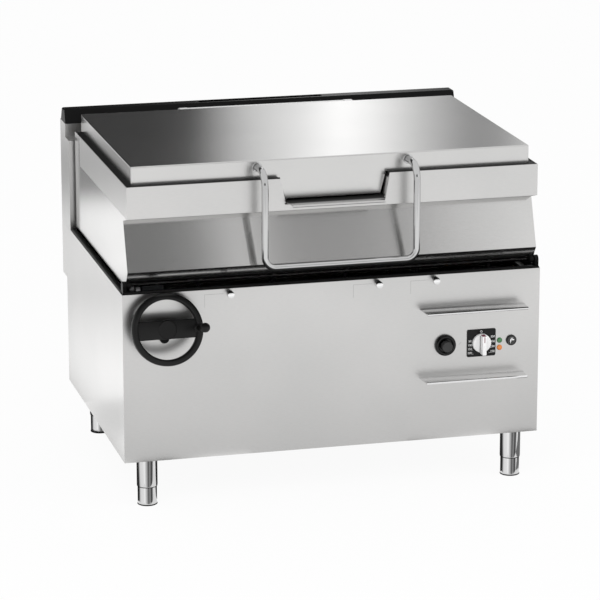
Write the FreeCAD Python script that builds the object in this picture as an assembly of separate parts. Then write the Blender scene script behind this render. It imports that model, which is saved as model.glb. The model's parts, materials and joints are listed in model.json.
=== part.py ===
"""Tilting bratt pan: a lidded braising vessel that tips forward over its own cabinet.

All lengths are in millimetres. While the pieces are made, Y = 0 is the outer face of the
front panel, +Y runs to the back, X = 0 is the middle of the cabinet and Z = 0 is the floor.
store() then moves every piece along Y, so that the origin lies on the floor under the centre
of the whole machine's bounding box.
"""
import FreeCAD, Part
import math
import os

V = FreeCAD.Vector

# Clearances
seat_gap = 0.3          # between pieces that rest on each other
run_gap = 0.08          # radial clearance of a shaft in its bearing
body_gap = 0.5          # between pieces that move past each other
pick_margin = 0.1       # how near an edge must lie to be rounded with its neighbours
pick_fine = 0.01
open_end = 20.0         # how far a hollow is cut past an open end

# Cabinet
cabinet_width = 1200.0
cabinet_depth = 840.0
cabinet_bottom = 132.0
cabinet_top = 612.5
skin = 1.5              # sheet thickness of panels and covers
panel_return = 16.0     # folded edge of the front panel
frame_leg = 30.0        # angle iron of the inner frame
frame_wall = 3.0
shaft_hole_gap = 10.0   # round the shafts where they pass a sheet
frame_drop = 14.5
frame_top = cabinet_top - frame_drop
shelf_drop = 202.5
shelf_height = cabinet_top - shelf_drop    # side rail that carries the tilting gearbox
trim_rise = 6.5
trim_top = cabinet_top + trim_rise    # black moulding round the cabinet's mouth
trim_depth = 12.0
trim_round = 5.0

# Levelling legs
leg_inset = 69.0
leg_x = cabinet_width / 2.0 - leg_inset
leg_front = 31.0
leg_rear_inset = 118.0
leg_rear = cabinet_depth - leg_rear_inset
leg_radius = 29.0
leg_wall = 1.7
leg_open_end = 55.0     # lower end of the outer tube above the floor
foot_radius = 27.0
foot_sole_radius = 28.5
foot_sole = 4.0
foot_top = 110.0
foot_stem_radius = 8.0
leg_flange = 3.0

# Pan casing: points of the front profile as (depth behind the front panel, height)
pan_side_gap = 14.75
pan_width = cabinet_width - 2.0 * pan_side_gap
pan_rear_inset = 92.0
pan_rear = cabinet_depth - pan_rear_inset
pan_rise = 8.3
pan_bottom = trim_top + pan_rise
fascia_foot = 28.1
crease_depth = -5.3
crease_rise = 48.3
crease_height = pan_bottom + crease_rise
fascia_top_depth = 44.6
fascia_rise = 183.7
fascia_top_height = pan_bottom + fascia_rise
band_front = -6.4
band_step = 14.3
band_bottom = fascia_top_height + band_step
band_height = 89.2
band_top = band_bottom + band_height
band_rear_inset = 75.0
band_side_end = pan_rear - band_rear_inset
hem = 16.0

# Vessel
vessel_side_jacket = 55.25
vessel_half_width = pan_width / 2.0 - vessel_side_jacket
vessel_front_jacket = 68.4
vessel_front = band_front + vessel_front_jacket
vessel_rear_jacket = 58.0
vessel_rear = pan_rear - vessel_rear_jacket
vessel_floor_rise = 77.7
vessel_floor = pan_bottom + vessel_floor_rise
vessel_wall = 3.0
vessel_corner = 55.0
vessel_floor_round = 28.0
rim_drop = 8.7
rim_level = band_top - rim_drop    # top of the flange round the vessel's mouth
heat_plate = 12.0
heat_plate_inset = 24.0
gasket_width = 27.0
gasket_height = 7.0

# Spout
spout_half_width = 141.0
spout_lip_inset = 10.0
spout_lip_half_width = spout_half_width - spout_lip_inset
spout_flare = 11.5
spout_top_half_width = spout_half_width + spout_flare
spout_depth = 57.8
spout_floor = rim_level - spout_depth
spout_reach = 43.6
spout_front = band_front - spout_reach
spout_wall = 2.0
spout_bead = 3.5
notch_side_gap = 2.0
notch_half_width = spout_half_width + notch_side_gap
notch_top_gap = 2.5
notch_top_half_width = spout_top_half_width + notch_top_gap
notch_drop = 6.5
notch_bottom = spout_floor - notch_drop

# Lid
lid_side_inset = 18.35
lid_width = pan_width - 2.0 * lid_side_inset
lid_front_inset = 26.6
lid_front = band_front + lid_front_inset
lid_rear_inset = 1.5
lid_rear = pan_rear - lid_rear_inset
lid_skirt = 51.6
lid_top = rim_level + gasket_height + seat_gap + lid_skirt
lid_round = 4.0
inner_round_share = 0.95
tongue_side_gap = 6.0
tongue_half_width = spout_half_width - tongue_side_gap
tongue_top_gap = 1.5
tongue_top_half_width = spout_top_half_width - tongue_top_gap
tongue_lift = 4.5
tongue_bottom = spout_floor + tongue_lift
tongue_drop = 1.5
tongue_shoulder = band_top - tongue_drop
liner_height = 18.0
liner_lift = 10.0

# Lid handle
handle_half_width = 215.0
handle_radius = 9.8
handle_reach = 70.0
handle_drop = 19.7
handle_top = lid_top - handle_drop
handle_height = 263.0
handle_bottom = handle_top - handle_height
handle_bend = 30.0
collar_radius = 13.5
collar_length = 3.0

# Lid hinge
hinge_reach = 37.0
hinge_depth = pan_rear + hinge_reach
hinge_rise = 14.1
hinge_height = band_top + hinge_rise
hinge_tube_radius = 30.0
hinge_tube_wall = 2.0
hinge_tube_half_width = 239.0
hinge_shaft_radius = 10.0
hinge_arm_width = 24.0
hinge_arm_radius = 31.0
hinge_arm_lift = 5.0
hinge_arm_share = 0.75
hinge_bracket_x = 190.0
hinge_bracket_width = 8.0
hinge_bracket_share = 0.9
bush_length = 12.0
spring_length = 170.0
spring_outer_radius = 22.0
spring_inner_radius = 14.0

# Tilting axis, ears and bearings
tilt_depth = 17.0
tilt_rise = 7.7
tilt_height = pan_bottom + tilt_rise
tilt_pin_radius = 6.0
ear_radius = 9.5
ear_width = 10.0
ear_tail = 72.0
bearing_radius = 12.0
bearing_end = cabinet_width / 2.0 - 2.0 * skin
rail_inset = 24.25
rail_outer_x = pan_width / 2.0 - rail_inset
rail_width = 30.0
rail_rise = 12.7
rail_bottom = pan_bottom + rail_rise
rail_height = 24.0

# Tilting gear: a toothed sector on the pan, driven by a pinion
tilt_range = 72.0
gear_module = 4.0
tip_modules = 0.9       # height of a tooth over the pitch circle, in modules
root_modules = 1.25
flank_shares = (0.0, 0.25, 0.55, 0.8, 1.0)
sector_teeth_full = 72
pinion_teeth = 12
mesh_angle = -14.0      # direction from the tilting axis to the pinion, degrees
pressure_angle = 25.0
backlash = 0.3
gear_width = 12.0
pinion_width = 16.0
sector_inset = 16.0
sector_centre_x = sector_inset - rail_outer_x
pinion_shaft_radius = 10.0
pinion_bore_depth = 34.0
spare_teeth = 1
sector_rim = 13.0         # metal left round the window in the sector's web
window_steps = 12

# Handwheel, on a shaft that slopes down into the cabinet
wheel_inset = 114.5
wheel_x = wheel_inset - cabinet_width / 2.0
wheel_depth = -47.0
wheel_drop = 91.8
wheel_height = cabinet_top - wheel_drop
wheel_slope = 15.0
wheel_radius = 100.0
wheel_inner_radius = 82.0
wheel_rim = 24.0
wheel_round = 7.0
spoke_height = 52.0
spoke_thickness = 12.0
hub_radius = 27.0
hub_length = 30.0
input_shaft_radius = 9.0
input_bore_depth = 40.0
grip_offset = 88.0
grip_length = 85.2
grip_foot_radius = 6.5
grip_ball_radius = 13.5
grip_pin_radius = 4.0
grip_pin_reach = 60.0
grip_cone_share = 0.92
grip_shank_share = 0.95
gearbox_width = 60.0
gearbox_boss_radius = 42.0
gearbox_input_radius = 30.0
gearbox_input_reach = 78.0
gearbox_output_boss = 10.0
gearbox_output_share = 0.6
gearbox_foot_margin = 10.0
flange_lobe_radius = 13.5
flange_lobe_offset = 18.5
flange_drop = 6.0
flange_thickness = 12.0
flange_bore_start = 20.0
flange_bore_length = 120.0

# Controls on the front panel
dial_inset = 170.8
dial_x = cabinet_width / 2.0 - dial_inset
dial_drop = 206.8
dial_z = cabinet_top - dial_drop
dial_width = 85.0
dial_height = 80.0
dial_thickness = 1.5
dial_corner = 5.0
knob_radius = 27.0
knob_front = 12.0
knob_bar_front = 35.0
knob_bar_width = 12.0
knob_bar_length = 53.0
knob_spindle_radius = 4.0
knob_draft = 1.5
knob_bar_sink = 6.0
knob_bar_round = 3.0
knob_spindle_sink = 5.0
igniter_inset = 277.4
igniter_x = cabinet_width / 2.0 - igniter_inset
igniter_drop = 206.0
igniter_z = cabinet_top - igniter_drop
bezel_radius = 30.5
bezel_bore = 20.0
bezel_height = 13.0
bezel_floor = 3.0
igniter_radius = 15.0
igniter_front = 27.0
igniter_travel = 5.0
igniter_stem_radius = 6.0
igniter_stem_reach = 12.0
igniter_body_length = 62.0
lamp_inset = 116.4
lamp_x = cabinet_width / 2.0 - lamp_inset
lamp_high_drop = 203.5
lamp_high_z = cabinet_top - lamp_high_drop
lamp_low_drop = 224.7
lamp_low_z = cabinet_top - lamp_low_drop
lamp_radius = 7.9
lamp_front = 5.0
lamp_body_radius = 6.5
lamp_body_length = 32.0
lamp_dome_share = 0.6
water_inset = 82.0
water_x = cabinet_width / 2.0 - water_inset
water_drop = 205.2
water_z = cabinet_top - water_drop
water_bezel_radius = 15.0
water_radius = 12.3
water_front = 5.0
water_travel = 3.0
water_stem_radius = 4.0
water_stem_reach = 10.0
water_switch_length = 34.0
water_switch_share = 2.5
stud_places = (-300.0, 124.0, 290.0)
stud_drop = 13.0
stud_z = cabinet_top - stud_drop
stud_radius = 10.0
stud_length = 25.0
stud_round = 1.5
guard_low_drop = 299.5
guard_low_z = cabinet_top - guard_low_drop
guard_high_drop = 99.9
guard_high_z = cabinet_top - guard_high_drop
guard_left_inset = 351.0
guard_left = cabinet_width / 2.0 - guard_left_inset
guard_right_inset = 45.0
guard_right = cabinet_width / 2.0 - guard_right_inset
guard_taper = 5.0
guard_reach = 57.0
guard_sheet = 2.5
guard_bead = 4.0

# Flue column and cap
column_gap = 22.0
column_front = pan_rear + column_gap
ledge_drop = 32.5
column_ledge = band_top - ledge_drop
ledge_depth = 55.0
column_neck = column_front + ledge_depth
neck_height = 40.0
column_top = column_ledge + neck_height
column_overhang = 65.0
column_rear = cabinet_depth + column_overhang
column_foot_drop = 146.0
column_foot = frame_top - column_foot_drop
cap_front_overlap = 4.0
cap_front_foot = column_neck - cap_front_overlap
cap_rear_inset = 12.0
cap_rear_foot = column_rear - cap_rear_inset
cap_front_taper = 15.0
cap_front_top = cap_front_foot + cap_front_taper
cap_rear_taper = 19.0
cap_rear_top = cap_rear_foot - cap_rear_taper
cap_height = 40.0
cap_top = column_top + cap_height
cap_end_round = 5.0
outlet_half_width = 190.0

# Burners, gas and water
burner_count = 5
burner_radius = 20.0
burner_wall = 2.0
burner_rise = 20.0
burner_height = frame_top + burner_rise
burner_front = 108.0
burner_rear = 640.0
burner_side_room = 360.0
burner_spread = cabinet_width - burner_side_room
burner_centre_x = 50.0
manifold_radius = 13.5
manifold_depth = 74.0
manifold_drop = 28.0
manifold_height = burner_height - manifold_drop
injector_radius = 6.0
injector_overlap = 6.0
riser_radius = 4.5
burner_rail_height = frame_top - frame_leg
burner_rail_front = 245.0
burner_rail_rear = 580.0
shield_inset = 170.0
shield_left = shield_inset - cabinet_width / 2.0
duct_half_width = 300.0
duct_rise = 18.0
duct_bottom = column_foot + duct_rise
duct_height = 90.0
duct_top = duct_bottom + duct_height
duct_mouth = 640.0
valve_depth = 62.0
valve_radius = 24.0
valve_length = 70.0
valve_neck_length = 16.0
valve_neck_share = 0.6
valve_bore_depth = 14.0
valve_port = 8.0
valve_port_wall = 3.0
valve_bracket_gap = 10.0
valve_bracket_half_height = 12.0
gas_radius = 8.0
gas_stub_radius = 10.5
gas_bend = 31.5
gas_turn = 60.0
gas_inset = 130.0
gas_x = cabinet_width / 2.0 - gas_inset
inlet_rise = 78.0
gas_inlet_z = cabinet_bottom + inlet_rise
stub_reach = 34.0       # end of the inlet stubs behind the cabinet
stub_length = 30.0
water_pipe_radius = 8.0
water_inlet_radius = 13.2
water_neck_radius = 9.5
water_bend = 20.0
water_valve_inset = 60.0
water_valve_depth = 40.0
water_valve_half_width = 26.0
water_valve_half_height = 18.0
water_inlet_inset = 220.0
water_inlet_x = cabinet_width / 2.0 - water_inlet_inset
water_inlet_z = gas_inlet_z
solenoid_radius = 22.0
solenoid_height = 46.0
box_left_inset = 148.0
box_left = cabinet_width / 2.0 - box_left_inset
box_right_inset = 44.0
box_right = cabinet_width / 2.0 - box_right_inset
box_front = 96.0
box_depth = 90.0
box_drop = 9.7
box_height = 122.0
box_top = dial_z - valve_radius - box_drop
box_bottom = box_top - box_height


def block(x0, x1, y0, y1, z0, z1):
    """Box between two corners."""
    return Part.makeBox(x1 - x0, y1 - y0, z1 - z0, V(x0, y0, z0))


def rod(start, direction, length, radius):
    """Cylinder from a point along a direction."""
    return Part.makeCylinder(radius, length, start, direction)


def ring(start, direction, length, outer, inner):
    """Tube from a point along a direction."""
    return rod(start, direction, length, outer).cut(rod(start, direction, length, inner))


def slab_x(points, x0, x1):
    """Solid with an outline of (depth, height) points, from x0 to x1."""
    corners = [V(x0, y, z) for y, z in points]
    return Part.Face(Part.makePolygon(corners + corners[:1])).extrude(V(x1 - x0, 0, 0))


def slab_y(points, y0, y1):
    """Solid with an outline of (x, height) points, from y0 to y1."""
    corners = [V(x, y0, z) for x, z in points]
    return Part.Face(Part.makePolygon(corners + corners[:1])).extrude(V(0, y1 - y0, 0))


def slab_z(points, z0, z1):
    """Solid with an outline of (x, y) points, from z0 to z1."""
    corners = [V(x, y, z0) for x, y in points]
    return Part.Face(Part.makePolygon(corners + corners[:1])).extrude(V(0, 0, z1 - z0))


def join(pieces):
    """One solid from pieces that touch or overlap."""
    whole = pieces[0].multiFuse(pieces[1:]) if len(pieces) > 1 else pieces[0]
    return whole.removeSplitter()


def mirror(shape):
    """The same piece on the other side of the cabinet."""
    return shape.mirror(V(0, 0, 0), V(1, 0, 0))


def both_sides(shape):
    """A piece and its mirror image, as separate solids."""
    return Part.makeCompound([shape, mirror(shape)])


def edges_along(shape, axis, test):
    """Straight edges along one axis whose middle passes a test."""
    found = []
    for edge in shape.Edges:
        if edge.Curve.TypeId != "Part::GeomLine":
            continue
        run = edge.Vertexes[-1].Point - edge.Vertexes[0].Point
        if abs(run.normalize().dot(axis)) > 0.999 and test(edge.CenterOfMass):
            found.append(edge)
    return found


def sheet_outline(points, thickness):
    """Closed outline of a bent sheet that lies to the right of a line of points."""
    normals = []
    for (y0, z0), (y1, z1) in zip(points, points[1:]):
        length = math.hypot(y1 - y0, z1 - z0)
        normals.append(((z1 - z0) / length, -(y1 - y0) / length))
    inner = []
    for i, (y, z) in enumerate(points):
        before = normals[max(i - 1, 0)]
        after = normals[min(i, len(normals) - 1)]
        scale = thickness / (1.0 + before[0] * after[0] + before[1] * after[1])
        inner.append((y + scale * (before[0] + after[0]), z + scale * (before[1] + after[1])))
    return points + inner[::-1]


def bent_path(points, radius):
    """Wire of straight runs joined by arcs of one radius."""
    edges = []
    start = points[0]
    for before, corner, after in zip(points, points[1:], points[2:]):
        back = (before - corner).normalize()
        ahead = (after - corner).normalize()
        half = math.acos(max(-1.0, min(1.0, back.dot(ahead)))) / 2.0
        trim = radius / math.tan(half)
        first = corner + back * trim
        last = corner + ahead * trim
        middle_way = (back + ahead).normalize()
        centre = corner + middle_way * (radius / math.sin(half))
        middle = centre - middle_way * radius
        edges.append(Part.LineSegment(start, first).toShape())
        edges.append(Part.Arc(first, middle, last).toShape())
        start = last
    edges.append(Part.LineSegment(start, points[-1]).toShape())
    return Part.Wire(edges)


def bent_rod(points, bend, radius):
    """Round bar that follows straight runs and arcs."""
    path = bent_path(points, bend)
    circle = Part.Wire(Part.makeCircle(radius, points[0], points[1] - points[0]))
    return path.makePipeShell([circle], True, True)


def outward(distance, across=0.0, up=0.0):
    """Point at a distance along the handwheel's axis, with offsets in the wheel's plane."""
    slope = math.radians(wheel_slope)
    centre = V(wheel_x, wheel_depth, wheel_height)
    along = V(0, -math.cos(slope), math.sin(slope))
    rise = V(0, math.sin(slope), math.cos(slope))
    return centre + along * distance + V(across, 0, 0) + rise * up


def wheel_axis():
    """Direction of the handwheel's axis, out of the cabinet."""
    return (outward(1.0) - outward(0.0)).normalize()


def mesh_distance():
    """Distance between the tilting axis and the pinion's axis."""
    return gear_module * (sector_teeth_full + pinion_teeth) / 2.0


def pinion_centre(x):
    """Point on the pinion's axis."""
    angle = math.radians(mesh_angle)
    reach = mesh_distance()
    return V(x, tilt_depth + reach * math.cos(angle), tilt_height + reach * math.sin(angle))


def tooth_points(teeth, centre_angle):
    """Outline of one involute tooth as (radius, angle) points, angles in radians."""
    pitch = gear_module * teeth / 2.0
    base = pitch * math.cos(math.radians(pressure_angle))
    tip = pitch + tip_modules * gear_module
    root = pitch - root_modules * gear_module

    def involute(radius):
        turn = math.acos(min(1.0, base / radius))
        return math.tan(turn) - turn

    half = math.pi / (2.0 * teeth) - backlash / (4.0 * pitch) + involute(pitch)
    start = max(base, root)
    steps = [start + (tip - start) * share for share in flank_shares]
    flank = [(root, half - involute(start))] if root < start else []
    flank += [(radius, half - involute(radius)) for radius in steps]
    rising = [(radius, centre_angle - angle) for radius, angle in flank]
    falling = [(radius, centre_angle + angle) for radius, angle in reversed(flank)]
    return rising + falling


def gear_outline(teeth, centres, centre):
    """Corner points of a row of teeth round a centre given as (depth, height)."""
    points = []
    for centre_angle in centres:
        for radius, angle in tooth_points(teeth, centre_angle):
            points.append((centre[0] + radius * math.cos(angle),
                           centre[1] + radius * math.sin(angle)))
    return points


def front_panel():
    """Folded front sheet with the openings for shaft and controls."""
    half = cabinet_width / 2.0
    face = block(-half, half, 0, skin, cabinet_bottom, cabinet_top)
    side = block(half - 2 * skin, half - skin, skin, panel_return, cabinet_bottom + skin, frame_top)
    sill = block(-half + 2 * skin, half - 2 * skin, skin, panel_return,
                 cabinet_bottom + skin + seat_gap, cabinet_bottom + 2 * skin + seat_gap)
    panel = join([face, side, mirror(side), sill])
    shaft_z = shaft_height_at(0.0)
    holes = [(wheel_x, shaft_z, input_shaft_radius + shaft_hole_gap),
             (dial_x, dial_z, knob_spindle_radius + 3.0),
             (igniter_x, igniter_z, igniter_stem_radius + 3.0),
             (lamp_x, lamp_high_z, lamp_body_radius + seat_gap),
             (lamp_x, lamp_low_z, lamp_body_radius + seat_gap),
             (water_x, water_z, water_stem_radius + 3.0)]
    for x, z, radius in holes:
        panel = panel.cut(rod(V(x, -skin, z), V(0, 1, 0), 3 * skin, radius))
    return panel


def shaft_height_at(depth):
    """Height of the sloping shaft's axis at a depth behind the front panel."""
    return wheel_height - (depth - wheel_depth) * math.tan(math.radians(wheel_slope))


def side_panel():
    """Right side sheet with its top edge folded inwards."""
    half = cabinet_width / 2.0
    face = block(half - skin, half, skin, cabinet_depth, cabinet_bottom, cabinet_top)
    fold = block(half - frame_leg, half - skin, 2 * frame_leg, cabinet_depth - 2 * frame_leg,
                 frame_top, frame_top + skin)
    return join([face, fold])


def rear_panel():
    """Back sheet with the flue opening and the pipe holes."""
    half = cabinet_width / 2.0 - skin - seat_gap
    panel = block(-half, half, cabinet_depth - skin, cabinet_depth,
                  cabinet_bottom + skin + seat_gap, cabinet_top)
    duct = block(-duct_half_width - seat_gap, duct_half_width + seat_gap,
                 cabinet_depth - 2 * skin, cabinet_depth + skin,
                 duct_bottom - seat_gap, duct_top + seat_gap)
    panel = panel.cut(duct)
    for x, z, radius in ((gas_x, gas_inlet_z, gas_radius),
                         (water_inlet_x, water_inlet_z, water_neck_radius),
                         (water_inlet_x, duct_bottom, water_pipe_radius)):
        hole = rod(V(x, cabinet_depth - 2 * skin, z), V(0, 1, 0), 3 * skin, radius + seat_gap)
        panel = panel.cut(hole)
    return panel


def base_tray():
    """Bottom sheet of the cabinet."""
    half = cabinet_width / 2.0 - skin - seat_gap
    return block(-half, half, skin + seat_gap, cabinet_depth - seat_gap,
                 cabinet_bottom, cabinet_bottom + skin)


def angle_bar_y(x_outer, inward, y0, y1, z_top, flange_down=True):
    """Angle iron along Y with one flange upright at x_outer and one level at its top."""
    x_inner = x_outer + inward * frame_leg
    x_wall = x_outer + inward * frame_wall
    level = block(min(x_outer, x_inner), max(x_outer, x_inner), y0, y1, z_top - frame_wall, z_top)
    lower = z_top - frame_leg if flange_down else z_top
    upright = block(min(x_outer, x_wall), max(x_outer, x_wall), y0, y1,
                    lower, z_top - frame_wall if flange_down else z_top + frame_leg)
    return join([level, upright])


def cabinet_frame():
    """Welded angle-iron frame: base ring, four posts, shelf rails and top rails."""
    outer = cabinet_width / 2.0 - 2 * skin - seat_gap
    inner = outer - frame_leg
    low = cabinet_bottom + skin
    front = skin + panel_return - skin + seat_gap
    rear = cabinet_depth - skin - seat_gap
    top = low + frame_leg
    parts = []
    for side in (1, -1):
        parts.append(angle_bar_y(side * outer, -side, front, rear, low + frame_wall, False))
        parts.append(angle_bar_y(side * outer, -side, front, rear, frame_top))
        parts.append(angle_bar_y(side * outer, -side, front, rear, shelf_height))
        x0, x1 = sorted((side * outer, side * inner))
        wall0, wall1 = sorted((side * outer, side * (outer - frame_wall)))
        for y_face, step in ((front, 1), (rear, -1)):
            y0, y1 = sorted((y_face, y_face + step * frame_leg))
            w0, w1 = sorted((y_face, y_face + step * frame_wall))
            parts.append(block(wall0, wall1, y0, y1, low, frame_top))
            parts.append(block(x0, x1, w0, w1, low, frame_top))
    for y_face, step in ((front, 1), (rear, -1)):
        y0, y1 = sorted((y_face, y_face + step * frame_leg))
        w0, w1 = sorted((y_face, y_face + step * frame_wall))
        parts.append(block(-inner, inner, y0, y1, low, low + frame_wall))
        parts.append(block(-inner, inner, w0, w1, low, top))
    w0 = rear - frame_wall
    parts.append(block(-inner, inner, w0, rear, frame_top - frame_leg, frame_top))
    return join(parts)


def rim_trim():
    """Black moulding round the front and sides of the cabinet's mouth."""
    outer = cabinet_width / 2.0 - skin
    low = frame_top + skin
    front = block(-outer, outer, skin, skin + trim_depth, low, trim_top)
    side = block(outer - trim_depth, outer, skin, column_front - body_gap, low, trim_top)
    trim = join([front, side, mirror(side)])
    upper = edges_along(trim, V(1, 0, 0), lambda c: c.z > trim_top - pick_margin and c.y < skin + pick_margin)
    upper += edges_along(trim, V(0, 1, 0), lambda c: c.z > trim_top - pick_margin and abs(c.x) > outer - pick_margin)
    trim = trim.makeFillet(trim_round, upper)
    room = block(bearing_inner_x() - body_gap, outer + skin, tilt_depth - bearing_radius - body_gap,
                 tilt_depth + bearing_radius + body_gap, low - skin, trim_top + skin)
    return trim.cut(room).cut(mirror(room))


def bearing_inner_x():
    """Inner face of the tilting bearings, just outside the pan."""
    return pan_width / 2.0 + 2 * body_gap


def pivot_bearing():
    """Upright block beside the pan that carries one tilting pin."""
    x0 = bearing_inner_x()
    x1 = bearing_end
    y0 = tilt_depth - bearing_radius
    y1 = tilt_depth + bearing_radius
    low = frame_top
    foot = block(x0, x1, y0, y1, low, tilt_height)
    head = rod(V(x0, tilt_depth, tilt_height), V(1, 0, 0), x1 - x0, bearing_radius)
    bore = rod(V(x0 - 1, tilt_depth, tilt_height), V(1, 0, 0), x1 - x0 + 2,
               tilt_pin_radius + run_gap)
    return join([foot, head]).cut(bore)


def leg_sockets():
    """Four outer tubes with a round flange under the cabinet."""
    sockets = []
    for x, y in leg_places():
        flange = rod(V(x, y, cabinet_bottom - leg_flange), V(0, 0, 1), leg_flange, leg_radius)
        wall = ring(V(x, y, leg_open_end), V(0, 0, 1), cabinet_bottom - leg_flange - leg_open_end,
                    leg_radius, leg_radius - leg_wall)
        sockets.append(join([flange, wall]))
    return Part.makeCompound(sockets)


def leg_places():
    """Plan positions of the four legs."""
    return [(-leg_x, leg_front), (leg_x, leg_front), (-leg_x, leg_rear), (leg_x, leg_rear)]


def levelling_foot(x, y):
    """Screw-out foot: sole, sleeve and threaded stem."""
    sole = rod(V(x, y, 0), V(0, 0, 1), foot_sole, foot_sole_radius)
    sleeve = rod(V(x, y, foot_sole), V(0, 0, 1), foot_top - foot_sole, foot_radius)
    stem_top = cabinet_bottom - leg_flange - seat_gap
    stem = rod(V(x, y, foot_top), V(0, 0, 1), stem_top - foot_top, foot_stem_radius)
    foot = join([sole, sleeve, stem])
    return foot


def pan_casing():
    """Outer shell of the pan: bent fascia, two sides, rear wall and bottom hems."""
    half = pan_width / 2.0
    line = [(fascia_foot + hem, pan_bottom), (fascia_foot, pan_bottom),
            (crease_depth, crease_height), (fascia_top_depth, fascia_top_height)]
    fascia = slab_x(sheet_outline(line, skin), -half + skin, half - skin)
    ear_room = block(ear_inner_x() - body_gap, half - skin, tilt_depth - 2 * ear_radius,
                     fascia_foot + hem + skin, pan_bottom - skin, tilt_height + ear_radius + body_gap)
    fascia = fascia.cut(ear_room).cut(mirror(ear_room))
    outline = [(fascia_foot, pan_bottom), (crease_depth, crease_height),
               (fascia_top_depth, fascia_top_height), (band_front, band_bottom),
               (band_side_end, band_bottom), (band_side_end, band_top),
               (pan_rear, band_top), (pan_rear, pan_bottom)]
    side = slab_x(outline, half - skin, half)
    side_hem = block(half - skin - hem, half - skin, ear_tail + hem, pan_rear - skin,
                     pan_bottom, pan_bottom + skin)
    rear = block(-half + skin, half - skin, pan_rear - skin, pan_rear,
                 pan_bottom, rim_level - vessel_wall)
    pin_room = rod(V(-half - 1.0, tilt_depth, tilt_height), V(1, 0, 0), 2 * half + 2.0,
                   tilt_pin_radius + seat_gap)
    return join([fascia, side, mirror(side), side_hem, mirror(side_hem), rear]).cut(pin_room)


def notch_outline():
    """Outline of the spout's notch in the band, open upwards."""
    return [(-notch_half_width, notch_bottom), (notch_half_width, notch_bottom),
            (notch_top_half_width, band_top), (notch_top_half_width, band_top + hem),
            (-notch_top_half_width, band_top + hem), (-notch_top_half_width, band_top)]


def rim_band():
    """Upright band round the front and sides of the pan, notched for the spout."""
    half = pan_width / 2.0
    line = [(fascia_top_depth, fascia_top_height + seat_gap), (band_front, band_bottom),
            (band_front, band_top)]
    front = slab_x(sheet_outline(line, skin), -half + skin, half - skin)
    side = block(half - skin, half, band_front, band_side_end - seat_gap,
                 band_bottom + seat_gap, band_top)
    band = join([front, side, mirror(side)])
    notch = slab_y(notch_outline(), band_front - skin, band_front + 2 * skin)
    return band.cut(notch)


def rounded_box(x0, x1, y0, y1, z0, z1, corner, floor_round):
    """Box with rounded upright edges and a rounded floor edge."""
    box = block(x0, x1, y0, y1, z0, z1)
    uprights = edges_along(box, V(0, 0, 1), lambda c: True)
    box = box.makeFillet(corner, uprights)
    floor_edges = [edge for edge in box.Edges if edge.BoundBox.ZMax < z0 + pick_fine]
    return box.makeFillet(floor_round, floor_edges)


def vessel():
    """Cooking vessel with rounded corners and a flat flange round its mouth."""
    wall = vessel_wall
    high = rim_level
    outer = rounded_box(-vessel_half_width - wall, vessel_half_width + wall,
                        vessel_front - wall, vessel_rear + wall,
                        vessel_floor - wall, high, vessel_corner + wall, vessel_floor_round + wall)
    inner = rounded_box(-vessel_half_width, vessel_half_width, vessel_front, vessel_rear,
                        vessel_floor, high + 2.0 * open_end, vessel_corner, vessel_floor_round)
    half = pan_width / 2.0 - skin - seat_gap
    flange = block(-half, half, band_front + skin + seat_gap, pan_rear - skin - seat_gap,
                   high - wall, high)
    below = block(-half, half, band_front, pan_rear, high - wall, high + wall)
    gate = slab_y(spout_outline(spout_wall + seat_gap, hem), band_front - skin, vessel_front + 1.0)
    tub = outer.cut(below).cut(inner).cut(gate)
    return Part.makeCompound([tub, flange.cut(inner).cut(gate)])


def heating_plate():
    """Thick conducting plate under the vessel's floor."""
    inset = heat_plate_inset + vessel_floor_round
    return block(-vessel_half_width + inset, vessel_half_width - inset, vessel_front + inset,
                 vessel_rear - inset, vessel_floor - vessel_wall - heat_plate,
                 vessel_floor - vessel_wall)


def rim_gasket():
    """Flat black seal that the lid's skirt rests on, open at the spout."""
    half = pan_width / 2.0 - skin - 2 * seat_gap
    front = band_front + skin + 2 * seat_gap
    rear = pan_rear - skin - 2 * seat_gap
    low = rim_level
    high = low + gasket_height
    seal = block(-half, half, front, rear, low, high)
    mouth = block(-half + gasket_width, half - gasket_width, lid_front + gasket_width,
                  lid_rear - gasket_width, low - 1.0, high + 1.0)
    gate_half = notch_top_half_width + 2 * seat_gap
    gate = block(-gate_half, gate_half, front - 1.0, lid_front + 2 * gasket_width,
                 low - 1.0, high + 1.0)
    return seal.cut(mouth).cut(gate)


def spout_outline(widen=0.0, rise=0.0):
    """Cross-section of the trough, widened on all sides and raised above the rim."""
    return [(-spout_half_width - widen, spout_floor - widen),
            (spout_half_width + widen, spout_floor - widen),
            (spout_top_half_width + widen, rim_level),
            (spout_top_half_width + widen, rim_level + rise),
            (-spout_top_half_width - widen, rim_level + rise),
            (-spout_top_half_width - widen, rim_level)]


def spout():
    """Pouring trough from the vessel's wall out past the band, with a beaded lip."""
    wall = spout_wall
    back = vessel_front
    front = band_front + skin + seat_gap
    outer = slab_y(spout_outline(wall, 1.0), front, back)
    inner = slab_y(spout_outline(0.0, 2.0), front - 1.0, back + 1.0)
    above = block(-cabinet_width, cabinet_width, front - 1.0, back + 1.0, rim_level, rim_level + hem)
    trough = outer.cut(inner).cut(above)
    lip = spout_lip_half_width
    lip_front = spout_front + spout_bead
    shelf = slab_z([(-spout_half_width, front), (-lip, lip_front), (lip, lip_front),
                    (spout_half_width, front)], spout_floor - wall, spout_floor)
    bead = rod(V(-lip, lip_front, spout_floor - spout_bead), V(1, 0, 0), 2 * lip, spout_bead)
    return join([trough, shelf, bead])


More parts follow.
